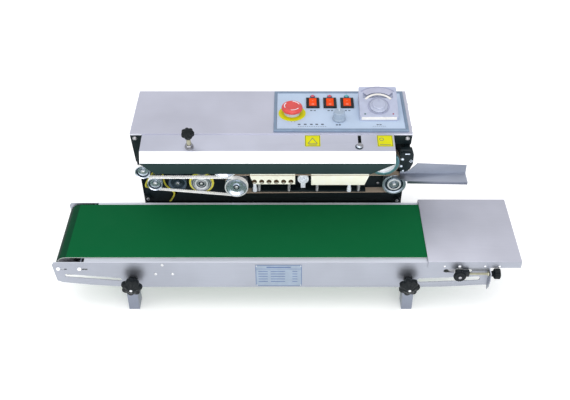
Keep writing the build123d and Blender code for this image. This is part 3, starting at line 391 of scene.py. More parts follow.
def joint_frame(name):
    """A frame at a joint's place, with its Z along the joint's axis."""
    joint = next(one for one in frame["record"]["behaviour"]["joints"] if one["name"] == name)
    return frame_at([value / MM for value in joint["pos_m"]], joint["axis"])


def rounded(points, radius, steps=3):
    """An outline with each corner off the axis turned into a short curve."""
    result = []
    count = len(points)
    for index, point in enumerate(points):
        here = Vector(point)
        before, after = Vector(points[index - 1]), Vector(points[(index + 1) % count])
        if here.x < 1e-6:
            result.append(tuple(here))
            continue
        back, ahead = before - here, after - here
        reach = min(radius, back.length * 0.45, ahead.length * 0.45)
        start, end = here + back.normalized() * reach, here + ahead.normalized() * reach
        for step in range(steps + 1):
            share = step / steps
            result.append(tuple(start * (1 - share) ** 2 + here * (2 * share * (1 - share))
                                + end * share ** 2))
    return result


def bridge(bm, first, second, index=0):
    """Faces between two rings of corners; a ring of one corner closes to a point."""
    count = max(len(first), len(second))
    for k in range(count):
        following = k + 1
        around = (first[k % len(first)], first[following % len(first)],
                  second[following % len(second)], second[k % len(second)])
        unique = list(dict.fromkeys(around))
        if len(unique) > 2:
            bm.faces.new(unique).material_index = index


def plain(theta, radius):
    return radius


def flutes(count, depth):
    """A radius that dips `count` times round the turn."""
    return lambda theta, radius: radius - depth * (0.5 - 0.5 * math.cos(count * theta)) ** 2


def lobes(count, core_share):
    """A star outline: round lobes between softer hollows."""
    return lambda theta, radius: radius * (core_share + (1 - core_share)
                                           * (0.5 + 0.5 * math.cos(count * theta)) ** 0.7)


def hexagon(theta, radius):
    """A radius that follows a hexagon's sides; given across the corners."""
    part = (theta % (math.pi / 3)) - math.pi / 6
    return radius * math.cos(math.pi / 6) / math.cos(part)


def lathe(bm, base, profile, segments=72, shape=plain, index=0, ease=0.0, closed=True):
    """Turn a (radius, height) outline about a frame's Z.

    `ease` rounds the outline's corners, `shape` bends each ring's radius, and a closed outline that
    keeps off the axis is joined end to end.
    """
    if ease:
        profile = rounded(profile, ease)
    rings = []
    for radius, height in profile:
        if radius < 1e-6:
            rings.append([bm.verts.new(base @ Vector((0, 0, height)))])
            continue
        ring = []
        for k in range(segments):
            theta = 2 * math.pi * k / segments
            bent = shape(theta, radius)
            ring.append(bm.verts.new(base @ Vector((bent * math.cos(theta), bent * math.sin(theta),
                                                    height))))
        rings.append(ring)
    for first, second in zip(rings, rings[1:]):
        bridge(bm, first, second, index)
    if closed and len(rings[0]) > 1 and len(rings[-1]) > 1:
        bridge(bm, rings[-1], rings[0], index)


def prism(bm, base, outline, height, round_edges=0.0, index=0):
    """A flat outline in a frame's XY, raised along its Z, with its upper rim eased inwards."""
    levels = [(0.0, 0.0), (0.0, height)]
    if round_edges:
        levels = [(0.0, 0.0), (0.0, height - round_edges), (round_edges * 0.3, height - round_edges * 0.3),
                  (round_edges, height)]
    centre = sum((Vector(point) for point in outline), Vector((0, 0))) / len(outline)
    rings = []
    for inset, level in levels:
        ring = []
        for point in outline:
            out = Vector(point) - centre
            moved = centre + out * (1 - inset / max(out.length, 1e-6))
            ring.append(bm.verts.new(base @ Vector((moved.x, moved.y, level))))
        rings.append(ring)
    for first, second in zip(rings, rings[1:]):
        bridge(bm, first, second, index)
    bm.faces.new(rings[-1]).material_index = index
    bm.faces.new(list(reversed(rings[0]))).material_index = index


def rectangle(width, depth, radius=0.0, centre=(0, 0), steps=4):
    """A rectangle's outline, with round corners where a radius is given."""
    x, y = width / 2, depth / 2
    turns = [(x, -y, -90), (x, y, 0), (-x, y, 90), (-x, -y, 180)]
    outline = []
    for corner_x, corner_y, start in turns:
        if not radius:
            outline.append((centre[0] + corner_x, centre[1] + corner_y))
            continue
        hub_x = corner_x - math.copysign(radius, corner_x)
        hub_y = corner_y - math.copysign(radius, corner_y)
        for step in range(steps + 1):
            angle = math.radians(start + 90 * step / steps)
            outline.append((centre[0] + hub_x + radius * math.cos(angle),
                            centre[1] + hub_y + radius * math.sin(angle)))
    return outline


def tube(bm, points, radius, sides):
    """A round tube through a list of points."""
    points = [Vector(point) for point in points]
    count = len(points)
    rings = []
    side = None
    for k, point in enumerate(points):
        run = (points[min(k + 1, count - 1)] - points[max(k - 1, 0)]).normalized()
        if side is None:
            side = run.orthogonal().normalized()
        side = (side - run * side.dot(run)).normalized()
        other = run.cross(side)
        rings.append([bm.verts.new(point + (side * math.cos(angle) + other * math.sin(angle)) * radius)
                      for angle in (2 * math.pi * s / sides for s in range(sides))])
    for first, second in zip(rings, rings[1:]):
        bridge(bm, first, second)
    bm.faces.new(list(reversed(rings[0])))
    bm.faces.new(rings[-1])


def add(name, bm, looks, body, replaces=(), smooth=32):
    """Write a finished mesh as a piece that rides a body; one look or a list by face index."""
    looks = looks if isinstance(looks, (list, tuple)) else [looks]
    bmesh.ops.remove_doubles(bm, verts=bm.verts, dist=0.001)
    bmesh.ops.recalc_face_normals(bm, faces=bm.faces)
    bm.transform(Matrix.Scale(MM, 4))
    mesh = bpy.data.meshes.new(name)
    bm.to_mesh(mesh)
    bm.free()
    for polygon in mesh.polygons:
        polygon.use_smooth = True
    mesh.set_sharp_from_angle(angle=math.radians(smooth))
    for look in looks:
        mesh.materials.append(look.material)
    piece = bpy.data.objects.new(name, mesh)
    SCENE.collection.objects.link(piece)
    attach(piece, body)
    if replaces:
        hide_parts(*replaces)


def body_of(node):
    """The body that a CAD node belongs to."""
    for body, members in frame["record"]["behaviour"]["bodies"].items():
        if node in members:
            return body
    raise KeyError(node)


SHARP = math.radians(40)            # a steeper fold than this is an edge to ease


def refined(node, looks, easing, pick=None):
    """The CAD node's own shape with its long sharp edges eased; `pick` gives a face's look."""
    bm = bmesh.new()
    bm.from_mesh(frame["nodes"][node].data)
    bm.transform(Matrix.Scale(1 / MM, 4))
    bmesh.ops.remove_doubles(bm, verts=bm.verts, dist=0.002)
    bmesh.ops.dissolve_limit(bm, angle_limit=math.radians(0.8), verts=bm.verts, edges=bm.edges)
    chosen = [edge for edge in bm.edges if len(edge.link_faces) == 2
              and edge.calc_face_angle(0) > SHARP and edge.calc_length() > easing * 3]
    bmesh.ops.bevel(bm, geom=chosen, offset=easing, offset_type="OFFSET", segments=2, profile=0.5,
                    affect="EDGES", clamp_overlap=True)
    if pick:
        bm.normal_update()
        for face in bm.faces:
            face.material_index = pick(face)
    add(f"{node}_eased", bm, looks, body_of(node), replaces=(node,), smooth=30)


def finish_node(node, look):
    """Keep a CAD node's shape and give it a better material."""
    mesh = frame["nodes"][node].data
    if not mesh.materials:
        mesh.materials.append(look.material)
    for index in range(len(mesh.materials)):
        mesh.materials[index] = look.material


# ---------------------------------------------------------------- pieces from the CAD shapes
GUARD_TOP = corners("safety_guard")[1].z


def facing(face):
    """The guard's upper face (0), its folded lip painted pale as a highlight (1), and its inner faces painted
    dark as shade and belt reflection (2).
    """
    if face.normal.z < -0.1 or face.normal.y > 0.5:
        return 2
    return 0 if face.normal.z > 0.8 or face.calc_center_median().z > GUARD_TOP - 6 else 1


def upward(face):
    """A sheet's level upper faces (1), which get a lighter copy painted as highlight, against its upright
    ones (0), which get a darker copy painted as shade.
    """
    return 1 if face.normal.z > 0.7 else 0


def ease_cad_shapes():
    """CAD shapes that keep their form and get soft edges: node, look, size of the easing."""
    for node, look, easing in (
            ("top_cover", STEEL, 0.5), ("back_cover", STEEL, 0.4), ("left_side_plate", BLACK_PAINT, 0.4),
            ("right_side_plate", BLACK_PAINT, 0.4), ("base_pan", BLACK_PAINT, 0.4),
            ("mechanism_plate", BLACK_PAINT, 0.4), ("support_arms", ARM_STEEL, 0.5),
            ("panel_bezel", BEZEL, 0.4), ("panel_face", FACE, 0.3), ("rocker_frames", BLACK, 0.7),
            ("thermostat_housing", LILAC, 0.9), ("heating_blocks", CREAM, 0.6), ("rubber_feet", RUBBER, 0.6),
            ("tail_carriage", BLACK, 0.5), ("power_inlet", BLACK, 0.5), ("fan_housing", BLACK, 0.6),
            ("drive_gearmotor", GREY_PAINT, 0.8), ("roller_bearings", ZINC, 0.4)):
        refined(node, look, easing)
    # Upright faces take the darker copy, painted shade; upper faces the lighter copy, painted highlight.
    for node, side, top in (
            ("front_rail", RAIL_STEEL, FLANGE_HIGHLIGHT), ("rear_rail", RAIL_STEEL, FLANGE_HIGHLIGHT),
            ("end_table", RAIL_STEEL, TABLE_STEEL), ("infeed_tray", TRAY_STEEL, TRAY_TOP)):
        refined(node, [side, top], 0.4, pick=upward)
    # One guard sheet in three colours by face direction: plain steel on top, painted highlight on the lip,
    # painted shade and reflection inside.
    refined("safety_guard", [GUARD_STEEL, LIP_HIGHLIGHT, GUARD_SHADE], 0.35, pick=facing)


def finish_plain_nodes():
    for node, look in (
            ("slider_bed", ARM_STEEL), ("head_screws", MACHINED), ("lower_drive_gear", MACHINED),
            ("upper_drive_gear", MACHINED), ("left_roller", MACHINED), ("drive_roller", RUBBER),
            ("tail_roller", MACHINED), ("fan_rotor", BLACK), ("rocker_1", ORANGE), ("rocker_2", ORANGE),
            ("rocker_3", ORANGE)):
        finish_node(node, look)


# ---------------------------------------------------------------- belts and bands
def loop_path(first, first_r, second, second_r, step):
    """Places and outward directions, as (X, Z) pairs, along a belt round two circles."""
    start, end = Vector(first), Vector(second)
    span = end - start
    heading = math.atan2(span.y, span.x)
    spread = math.acos((first_r - second_r) / span.length)
    path = []
    for centre, radius, begin, finish, ahead, ahead_r in (
            (start, first_r, heading + 2 * math.pi - spread, heading + spread, end, second_r),
            (end, second_r, heading + spread, heading - spread, start, first_r)):
        count = max(2, round(abs(finish - begin) * radius / step))
        for k in range(count + 1):
            angle = begin + (finish - begin) * k / count
            out = Vector((math.cos(angle), math.sin(angle)))
            path.append((centre + out * radius, out))
        leave, out = path[-1]
        arrive = ahead + out * ahead_r
        count = max(1, round((arrive - leave).length / step))
        for k in range(1, count):
            path.append((leave.lerp(arrive, k / count), out))
    return path


def band(bm, path, section, index_of=None):
    """Sweep a closed (outward, Y) section along a loop; a section may depend on the step."""
    rings = []
    for k, (place, out) in enumerate(path):
        shape = section(k) if callable(section) else section
        rings.append([bm.verts.new((place.x + out.x * depth, y, place.y + out.y * depth))
                      for depth, y in shape])
    count = len(rings[0])
    for k, ring in enumerate(rings):
        following = rings[(k + 1) % len(rings)]
        for s in range(count):
            face = bm.faces.new((ring[s], ring[(s + 1) % count],
                                 following[(s + 1) % count], following[s]))
            face.material_index = index_of[s] if index_of else 0


def hub(node):
    """Centre of a turned node as (X, Z)."""
    centre = middle(node)
    return (centre.x, centre.z)


def radius_of(node):
    """Half of a turned node's width, in millimetres."""
    low, high = corners(node)
    return (high.x - low.x) / 2


RUN_GAP = 0.3                       # a belt runs this far outside its pulley


def make_conveyor_belt():
    """The belt's loop, with its green cover, pale ply, and faces painted darker as shade where it turns over
    the left roller.
    """
    low, high = corners("conveyor_belt")
    loop_r = radius_of("left_roller") + RUN_GAP
    thick, inset = 2.0, 0.45
    section = [(0, low.y + inset), (thick - inset, low.y), (thick - 0.1, low.y + inset * 0.4),
               (thick, low.y + inset * 1.6), (thick, high.y - inset * 1.6),
               (thick - 0.1, high.y - inset * 0.4), (thick - inset, high.y), (0, high.y - inset)]
    bm = bmesh.new()
    path = loop_path(hub("left_roller"), loop_r, hub("tail_roller"), loop_r, 4)
    band(bm, path, section, index_of=[1, 0, 0, 0, 0, 0, 1, 1])
    # Cover faces over the left roller's bend get the darker greens, painted shade.
    bend = hub("left_roller")[0] - 2
    for face in bm.faces:
        x = face.calc_center_median().x
        if face.material_index == 0 and x < bend:
            face.material_index = 2 if x < bend - 9 else 3
    add("belt", bm, [BELT_GREEN, BELT_PLY, BELT_TURN_SHADE, BELT_BEND_SHADE], "conveyor", replaces=("conveyor_belt",),
        smooth=50)


def make_guide_belts():
    low, high = corners("guide_belts")
    bm = bmesh.new()
    for pulley, wheel in (("lower_guide_pulley", "lower_drive_wheel"),
                          ("upper_guide_pulley", "upper_drive_wheel")):
        path = loop_path(hub(pulley), 13.0, hub(wheel), 21.0, 0.9)

        def section(k):
            tooth = -0.15 if k % 4 in (0, 1) else 0.65
            return [(tooth, low.y + 1.0), (1.25, low.y + 1.0), (1.5, low.y + 1.3),
                    (1.5, high.y - 0.5), (tooth, high.y - 0.5)]
        band(bm, path, section)
    add("toothed_belts", bm, BELT_WHITE, "head", replaces=("guide_belts",), smooth=30)


def make_seal_bands():
    low, high = corners("seal_bands")
    bm = bmesh.new()
    for wheel, pulley in (("lower_drive_wheel", "lower_infeed_pulley"),
                          ("upper_drive_wheel", "upper_infeed_pulley")):
        path = loop_path(hub(wheel), 21.5 + RUN_GAP, hub(pulley), radius_of(pulley) + RUN_GAP, 2.5)
        band(bm, path, [(0, low.y), (0.5, low.y), (0.5, high.y), (0, high.y)])
    add("cloth_bands", bm, BAND, "head", replaces=("seal_bands",), smooth=50)


# ---------------------------------------------------------------- wheels of the sealing train
AXLE_R, AXLE_END = 4.8, 58.0        # every wheel's axle runs back to this Y
SEAL_LINE = (hub("lower_emboss_wheel")[1] + hub("upper_emboss_wheel")[1]) / 2
# outer radius, front and back of each rim
RIMS = {"lower_emboss_wheel": (24.0, 30.2, 34.2), "upper_emboss_wheel": (21.5, 35.4, 39.4)}


def pan_screw(bm, base, radius, index=0):
    """A pan head with a cross recess, standing on a frame."""
    for width, depth in ((1.3, 0.26), (0.26, 1.3)):
        prism(bm, shifted(base, z=radius * 0.5), rectangle(radius * width, radius * depth), radius * 0.18,
              index=index)
    lathe(bm, base, [(0, 0), (radius, 0), (radius, radius * 0.25), (radius * 0.85, radius * 0.5),
                     (radius * 0.55, radius * 0.68), (0, radius * 0.7)], 32, index=index)


def make_wheel(node, profile, looks, screw_r, shaded=(), pale=()):
    """A turned wheel with a hub screw; profile as (radius, Y) from its middle outwards.

    `shaded` and `pale` give the rings of its front face that are painted darker, as shade and dark
    reflection, or brighter, as highlight.
    """
    x, z = hub(node)
    hub_front, back = profile[0][1], profile[-1][1]
    bm = bmesh.new()
    lathe(bm, along_y(x, z), rounded(profile, 0.4) + [(0, back)], 96)
    front = min(y for radius, y in profile)
    for face in bm.faces:
        centre = face.calc_center_median()
        radius = math.hypot(centre.x - x, centre.z - z)
        # Front-face rings painted as shade and reflection (dark plate) or as highlight (pale plate).
        if centre.y < front + 4.5:
            for index, rings in ((2, shaded), (3, pale)):
                if any(low < radius < high for low, high in rings):
                    face.material_index = index
    lathe(bm, along_y(x, z), [(0, back - 1), (AXLE_R, back - 1), (AXLE_R, AXLE_END), (0, AXLE_END)], 32)
    pan_screw(bm, towards_front(x, z, hub_front + 0.2), screw_r, index=1)
    add(f"{node}_turned", bm, [*looks, SHADED, HIGHLIGHT_STEEL], body_of(node), replaces=(node,), smooth=28)


def make_drive_and_guide_wheels():
    # The shaded and pale rings are painted shade and highlight.
    for node in ("lower_guide_pulley", "upper_guide_pulley"):
        make_wheel(node, [(0, 20.6), (5.6, 20.6), (6.2, 22.2), (9.6, 21.6), (12.4, 18.2), (14.2, 17.0),
                          (14.6, 17.6), (14.4, 18.7), (12.4, 18.9), (12.4, 25.8), (14.0, 26.0),
                          (14.0, 26.9), (8.0, 27.0), (8.0, 45.5)],
                   [CHROME, ZINC], 4.0, shaded=((4.4, 6.0), (9.9, 12.2)), pale=((6.2, 9.0),))
    for node in ("lower_drive_wheel", "upper_drive_wheel"):
        make_wheel(node, [(0, 19.4), (6.4, 19.4), (7.2, 21.6), (13.5, 21.2), (19.5, 17.8), (22.0, 17.0),
                          (22.6, 17.8), (22.4, 18.7), (20.4, 18.9), (20.4, 26.0), (22.2, 26.3),
                          (22.2, 27.4), (21.4, 27.8), (21.4, 44.0), (9.0, 44.0), (9.0, 45.4)],
                   [CHROME, ZINC], 3.6, shaded=((3.9, 5.6), (18.2, 19.8)), pale=((20.4, 22.6),))


def make_emboss_wheels():
    """Each wheel is grooved for the other wheel's rim."""
    apart = math.dist(hub("lower_emboss_wheel"), hub("upper_emboss_wheel"))
    for node, other in (("lower_emboss_wheel", "upper_emboss_wheel"),
                        ("upper_emboss_wheel", "lower_emboss_wheel")):
        span, front, back = RIMS[other]
        groove = apart - span - 0.5
        # The shaded and pale rings are painted shade and highlight.
        make_wheel(node, [(0, 27.6), (6.0, 27.6), (6.6, 29.4), (8.4, 29.4), (9.2, 27.0), (12.6, 26.8),
                          (13.4, 29.2), (15.6, 29.2), (16.4, 27.2), (18.6, 27.0), (19.8, 28.0),
                          (20.0, front - 0.4), (groove, front - 0.4), (groove, back + 0.4),
                          (20.0, back + 0.4), (20.0, 40.6), (8.0, 41.0), (8.0, 45.4)],
                   [EMBOSS_STEEL, ZINC], 3.0,
                   shaded=((3.6, 5.2), (8.6, 10.4), (13.0, 14.2), (17.0, 18.2)), pale=((10.4, 12.6),))


def make_emboss_rims():
    """Round rims behind each embossing wheel's face."""
    for node, look in (("lower_emboss_wheel", SILICONE), ("upper_emboss_wheel", BRASS)):
        span, front, back = RIMS[node]
        bm = bmesh.new()
        lathe(bm, along_y(*hub(node)), [(20.1, front), (span, front), (span, back), (20.1, back)], 96,
              ease=0.6)
        add(node.replace("emboss_wheel", "rim"), bm, look, body_of(node), smooth=40)


def make_idler_and_infeed_pulleys():
    # The shaded and pale rings are painted shade and highlight.
    make_wheel("guide_idler", [(0, 28.4), (5.4, 28.4), (6.0, 30.6), (9.4, 30.6), (10.2, 29.0),
                               (13.4, 29.2), (14.2, 30.8), (15.8, 30.4), (16.4, 27.2), (17.4, 27.2),
                               (17.5, 40.6), (8.0, 41.0), (8.0, 45.4)],
               [IDLER_STEEL, MACHINED], 3.6, shaded=((3.8, 13.4),))
    make_wheel("lower_infeed_pulley", [(0, 25.4), (5.6, 25.4), (6.4, 27.6), (8.8, 27.6), (9.6, 25.2),
                                       (12.8, 24.9), (13.8, 27.2), (17.2, 27.0), (19.6, 25.0),
                                       (22.4, 24.6), (22.9, 25.3), (22.7, 26.3), (20.0, 26.6),
                                       (20.0, 43.8), (8.0, 44.0), (8.0, 45.4)],
               [INFEED_STEEL, ZINC], 3.6, shaded=((3.8, 5.4), (8.8, 10.4), (14.0, 18.0)),
               pale=((10.8, 13.0),))
    # This pulley's plating is tinted teal as painted reflection, and its inner dish is painted pale as
    # highlight.
    make_wheel("upper_infeed_pulley", [(0, 26.4), (6.0, 26.4), (7.0, 28.4), (12.0, 28.4), (20.5, 28.0),
                                       (22.0, 25.4), (28.2, 25.0), (29.0, 25.8), (29.0, 27.0),
                                       (29.9, 28.6), (29.9, 43.8), (8.0, 44.0), (8.0, 45.4)],
               [TEAL_REFLECTION, ZINC], 4.2, pale=((12.0, 24.0),))


def make_press_roller():
    low, high = corners("press_roller")
    radius = radius_of("press_roller")
    bm = bmesh.new()
    lathe(bm, along_y(*hub("press_roller")),
          [(3.1, low.y + 1.6), (5.6, low.y + 1.2), (6.2, low.y - 0.6), (7.6, low.y - 0.6),
           (8.4, low.y + 0.8), (radius, low.y + 0.6), (radius, high.y), (3.1, high.y)], ease=0.5)
    add("press_roller_turned", bm, WHITE, "press_roller", replaces=("press_roller",))


# ---------------------------------------------------------------- blocks and posts
POST_Y = 29.5
CARRIER_FRONT, CARRIER_END = 29.0, 153.0            # the front face and right end of a carrier bar
CARRIER_OFF, CARRIER_THICK = 38.6, 3.3              # its distance from the seal line, and its height
SPRING_R, SPRING_WIRE, SPRING_TURNS = 2.7, 0.45, 5
ARM_WIDTH, ARM_THICK = 9.0, 3.4


def make_cooling_blocks():
    """The cooling blocks as cut, with brown linings in their holes and eased edges."""
    refined("cooling_blocks", CREAM, 0.5)
    low, high = corners("cooling_blocks")
    half = (low.z + high.z) / 2
    bm = bmesh.new()
    for side in (-1, 1):
        for k in range(6):
            base = along_y(low.x + 8.5 + 14.1 * k, half + side * 15.0)
            lathe(bm, base, [(4.9, low.y - 0.12), (4.9, low.y + 0.05), (4.2, low.y + 0.3), (4.2, high.y - 2),
                             (3.4, high.y - 2), (3.4, low.y + 0.3), (4.0, low.y - 0.12)], 40)
            lathe(bm, base, [(0, low.y + 2.5), (4.1, low.y + 2.5), (4.1, low.y + 3.5), (0, low.y + 3.5)], 24)
    add("hole_linings", bm, HOLE_BROWN, "head")


def spring(bm, x, y, z_low, z_high):
    steps = SPRING_TURNS * 14
    turn = 2 * math.pi * SPRING_TURNS / steps
    tube(bm, [(x + SPRING_R * math.cos(turn * k), y + SPRING_R * math.sin(turn * k),
               z_low + (z_high - z_low) * k / steps) for k in range(steps + 1)], SPRING_WIRE, 8)


def post(pins, caps, x, z_low, z_high, thick):
    """A thick insulating post, or a thin pin inside its spring."""
    base = flat(x, POST_Y, z_low)
    tall = z_high - z_low
    if thick:
        lathe(caps, base, [(0, 0), (4.4, 0), (4.4, tall * 0.45), (3.3, tall * 0.5), (3.3, tall), (0, tall)],
              40, ease=0.5)
        return
    lathe(pins, base, [(0, 0), (1.9, 0), (1.9, tall), (0, tall)], 28)
    spring(pins, x, POST_Y, z_low + 0.6, z_high - 0.6)


def press_arm(bm, back):
    """The arm, foot and axle that hold the press roller."""
    x, z = hub("press_roller")
    prism(bm, towards_front(x, z - 18.5, 40), rectangle(ARM_WIDTH, 24, 2.0, (0, 8)), ARM_THICK, 0.5)
    prism(bm, flat(x, (36.5 + back) / 2, z - 26), rectangle(ARM_WIDTH, back - 36.5, 1.0), ARM_THICK, 0.5)
    lathe(bm, along_y(x, z), [(0, 28.4), (2.4, 28.4), (2.9, 29.4), (2.9, 40), (0, 40)], 32, ease=0.4)


def make_block_posts():
    low, high = corners("block_posts")
    cool_low, cool_high = corners("cooling_blocks")
    heat_low, heat_high = corners("heating_blocks")
    posts = [(cool_low.x + 9, cool_high, True), (cool_low.x + 17.5, cool_high, False),
             (cool_low.x + 75.1, cool_high, False), (heat_low.x + 11.5, heat_high, False),
             (heat_low.x + 73.7, heat_high, True), (heat_low.x + 92, heat_high, False)]
    carriers, pins, caps = bmesh.new(), bmesh.new(), bmesh.new()
    for side in (-1, 1):
        near = SEAL_LINE + side * CARRIER_OFF
        bottom = min(near, near + side * CARRIER_THICK)
        prism(carriers, flat((low.x + CARRIER_END) / 2, (CARRIER_FRONT + high.y) / 2, bottom),
              rectangle(CARRIER_END - low.x, high.y - CARRIER_FRONT, 1.0), CARRIER_THICK, 0.4)
        for x, block_top, thick in posts:
            block_face = SEAL_LINE + side * (block_top.z - SEAL_LINE - 0.4)
            post(pins, caps, x, *sorted((block_face, near + side)), thick)
    press_arm(caps, high.y)
    add("post_carriers", carriers, BLACK_PAINT, "head", replaces=("block_posts",))
    add("posts_and_springs", pins, ZINC, "head")
    add("insulating_posts", caps, WHITE, "head")


def make_plate_screws():
    bm = bmesh.new()
    for x, z, y, radius in ((178.5, 141.1, 51.8, 3.0), (-275.3, 104.8, 46.0, 3.4), (218.4, 100.5, 46.0, 3.4)):
        pan_screw(bm, towards_front(x, z, y), radius)
    add("plate_screws", bm, MACHINED, "head")


def smooth_path(points, steps=8):
    """A Catmull-Rom curve through a list of points."""
    points = [Vector(point) for point in points]
    ends = [points[0] * 2 - points[1]] + points + [points[-1] * 2 - points[-2]]
    path = []
    for before, here, after, later in zip(ends, ends[1:], ends[2:], ends[3:]):
        for step in range(steps):
            t = step / steps
            path.append((here * 2 + (after - before) * t
                         + (before * 2 - here * 5 + after * 4 - later) * t * t
                         + (here * 3 - before - after * 3 + later) * t ** 3) / 2)
    return path + [points[-1]]


def make_heater_leads():
    """Two braided sleeves that leave the plate above the belts and enter it again below."""
    bm = bmesh.new()
    for points in ([(-240, 52, 206), (-241, 43.6, 200), (-241.3, 43.6, 176), (-238.2, 43.6, 146),
                    (-229, 43.6, 132), (-222, 43.6, 121), (-228, 43.6, 106), (-233, 50, 96)],
                   [(-256, 52, 192), (-257, 43.6, 184), (-259.3, 43.6, 172.8), (-267, 43.6, 160),
                    (-274.6, 43.6, 147), (-276, 43.6, 138), (-273, 52, 130)]):
        tube(bm, smooth_path(points), 1.7, 14)
    add("lead_sleeves", bm, SLEEVE, "head", replaces=("heater_leads",), smooth=50)


# ---------------------------------------------------------------- knobs
def make_leg_knobs():
    """Seven-lobed clamp knobs; heights are distances in front of Y zero."""
    for node in ("left_leg_knob", "right_leg_knob"):
        low, high = corners(node)
        base = towards_front(*hub(node), 0)
        outer = (high.z - low.z) / 2 - 0.2
        bm = bmesh.new()
        lathe(bm, base, [(0, 168.4), (11, 168.4), (outer - 1.0, 169.0), (outer, 170.8), (outer, 176.0),
                         (outer - 1.8, 178.4), (outer * 0.68, 179.2), (11, 180.4), (8.4, 182.4),
                         (4.5, 183.7), (0, 184.0)], 112, shape=lobes(7, 0.82), ease=0.9)
        lathe(bm, base, [(0, 156.2), (8.8, 156.2), (8.8, 160), (12.6, 167), (12.6, 170), (0, 170)], 64,
              ease=0.6)
        # Zinc stud end at the centre: real metal, sized so it also stands for the dome's highlight, partly a
        # painted highlight.
        lathe(bm, base, [(0, 183.2), (2.6, 183.2), (2.6, 184.2), (0, 184.4)], 40, index=1, ease=0.3)
        lathe(bm, base, [(0, 143.5), (3.9, 143.5), (3.9, 157), (0, 157)], 32, index=1)
        add(f"{node}_moulded", bm, [KNOB_BLACK, ZINC], body_of(node), replaces=(node,), smooth=38)


def make_pressure_knob():
    base = joint_frame("pressure_turn")
    bm = bmesh.new()
    lathe(bm, base, [(0, 25.5), (8.0, 25.8), (11.0, 27.6), (11.9, 30.0), (11.9, 35.0), (10.6, 37.6),
                     (8.0, 38.6), (4.0, 39.2), (0, 39.3)], 112, shape=lobes(7, 0.8), ease=0.8)
    lathe(bm, base, [(0, 20.6), (5.0, 20.6), (5.8, 22.0), (8.2, 26.5), (0, 26.5)], 56, ease=0.5)
    lathe(bm, base, [(0, 7), (3.6, 7), (3.6, 21), (0, 21)], 40, index=1)
    for k in range(10):
        lathe(bm, shifted(base, z=7.4 + 1.25 * k), [(3.4, 0), (3.9, 0.4), (3.4, 0.8)], 40, index=1,
              closed=False)
    lathe(bm, base, [(0, 1.8), (6.6, 1.8), (6.8, 3.0), (6.8, 6.8), (6.0, 7.6), (0, 7.6)], 48,
          shape=hexagon, index=2, ease=0.3)
    lathe(bm, base, [(0, 0.6), (8.2, 0.6), (8.2, 1.8), (0, 1.8)], 56, index=2, ease=0.3)
    lathe(bm, base, [(0, -33.8), (3.9, -33.8), (3.9, 1), (0, 1)], 32, index=2)
    add("pressure_knob_moulded", bm, [KNOB_BLACK, BRASS, MACHINED], "pressure_knob",
        replaces=("pressure_knob",), smooth=38)


def make_tension_screw():
    """A threaded rod with a lock nut and a knurled knob; heights are X values."""
    end = corners("tension_screw")[0].x
    centre = middle("tension_screw")
    bm = bmesh.new()
    base = frame_at((0, centre.y, centre.z), (1, 0, 0))
    start, stop, pitch = end + 0.4, end + 50.0, 1.5
    thread = [(0, end)]
    for k in range(int((stop - start) / pitch)):
        thread += [(2.0, start + pitch * k), (2.5, start + pitch * (k + 0.5))]
    lathe(bm, base, thread + [(2.0, stop), (0, stop)], 28, index=1)
    lathe(bm, base, [(0, 363.6), (4.3, 363.6), (4.3, 365.9), (0, 365.9)], 48, shape=hexagon, index=1,
          ease=0.3)
    lathe(bm, base, [(0, 370), (4.9, 370), (5.6, 373.6), (8.6, 375), (10, 376.6), (10, 384.6), (8.8, 386),
                     (5, 386), (4.4, 385.4), (0, 385.4)], 120, shape=flutes(20, 0.9), ease=0.5)
    add("tension_screw_knurled", bm, [KNOB_BLACK, BRASS], "tension_screw", replaces=("tension_screw",))


def make_clamp_knob():
    """The tail roller's knurled clamp knob with the axle end and washer it bears on."""
    base = towards_front(*hub("clamp_knob"), 0)
    for name, look, body, profile, segments, shape, ease, replaced in (
            ("clamp_knob_knurled", KNOB_BLACK, "clamp_knob",
             [(4.1, 164.6), (10, 164.8), (11.5, 166.6), (11.5, 170.4), (10.2, 172.1), (4.1, 172.1)],
             120, flutes(18, 0.9), 0.5, ("clamp_knob",)),
            ("axle_end", MACHINED, "tail_carriage",
             [(0, 170), (3.4, 170), (3.4, 172.6), (2.6, 173.2), (0, 173.4)], 40, plain, 0.3, ()),
            ("axle_washer", ZINC, "tail_carriage",
             [(4.2, 155.3), (8.6, 155.3), (8.6, 156.4), (4.2, 156.4)], 48, plain, 0.2, ())):
        bm = bmesh.new()
        lathe(bm, base, profile, segments, shape=shape, ease=ease)
        add(name, bm, look, body, replaces=replaced)


# ---------------------------------------------------------------- control panel
PANEL_TOP = corners("panel_face")[1].z
ROCKER_LEVEL = 294.7                # height of a rocker's middle line
ROCKERS = ("rocker_1", "rocker_2", "rocker_3")


def arc_strip(bm, base, radius, width, start, end, height, index=0, steps=20):
    """A raised strip along an arc between two angles, in degrees."""
    outline = []
    for edge, order in ((radius + width / 2, 1), (radius - width / 2, -1)):
        angles = [start + (end - start) * k / steps for k in range(steps + 1)][::order]
        outline += [(edge * math.cos(math.radians(a)), edge * math.sin(math.radians(a))) for a in angles]
    rings = [[bm.verts.new(base @ Vector((x, y, level))) for x, y in outline] for level in (0, height)]
    bridge(bm, rings[0], rings[1], index)
    count = len(outline)
    for ring, flip in ((rings[0], True), (rings[1], False)):
        for k in range(steps):
            quad = [ring[k], ring[k + 1], ring[count - 2 - k], ring[count - 1 - k]]
            bm.faces.new(list(reversed(quad)) if flip else quad).material_index = index


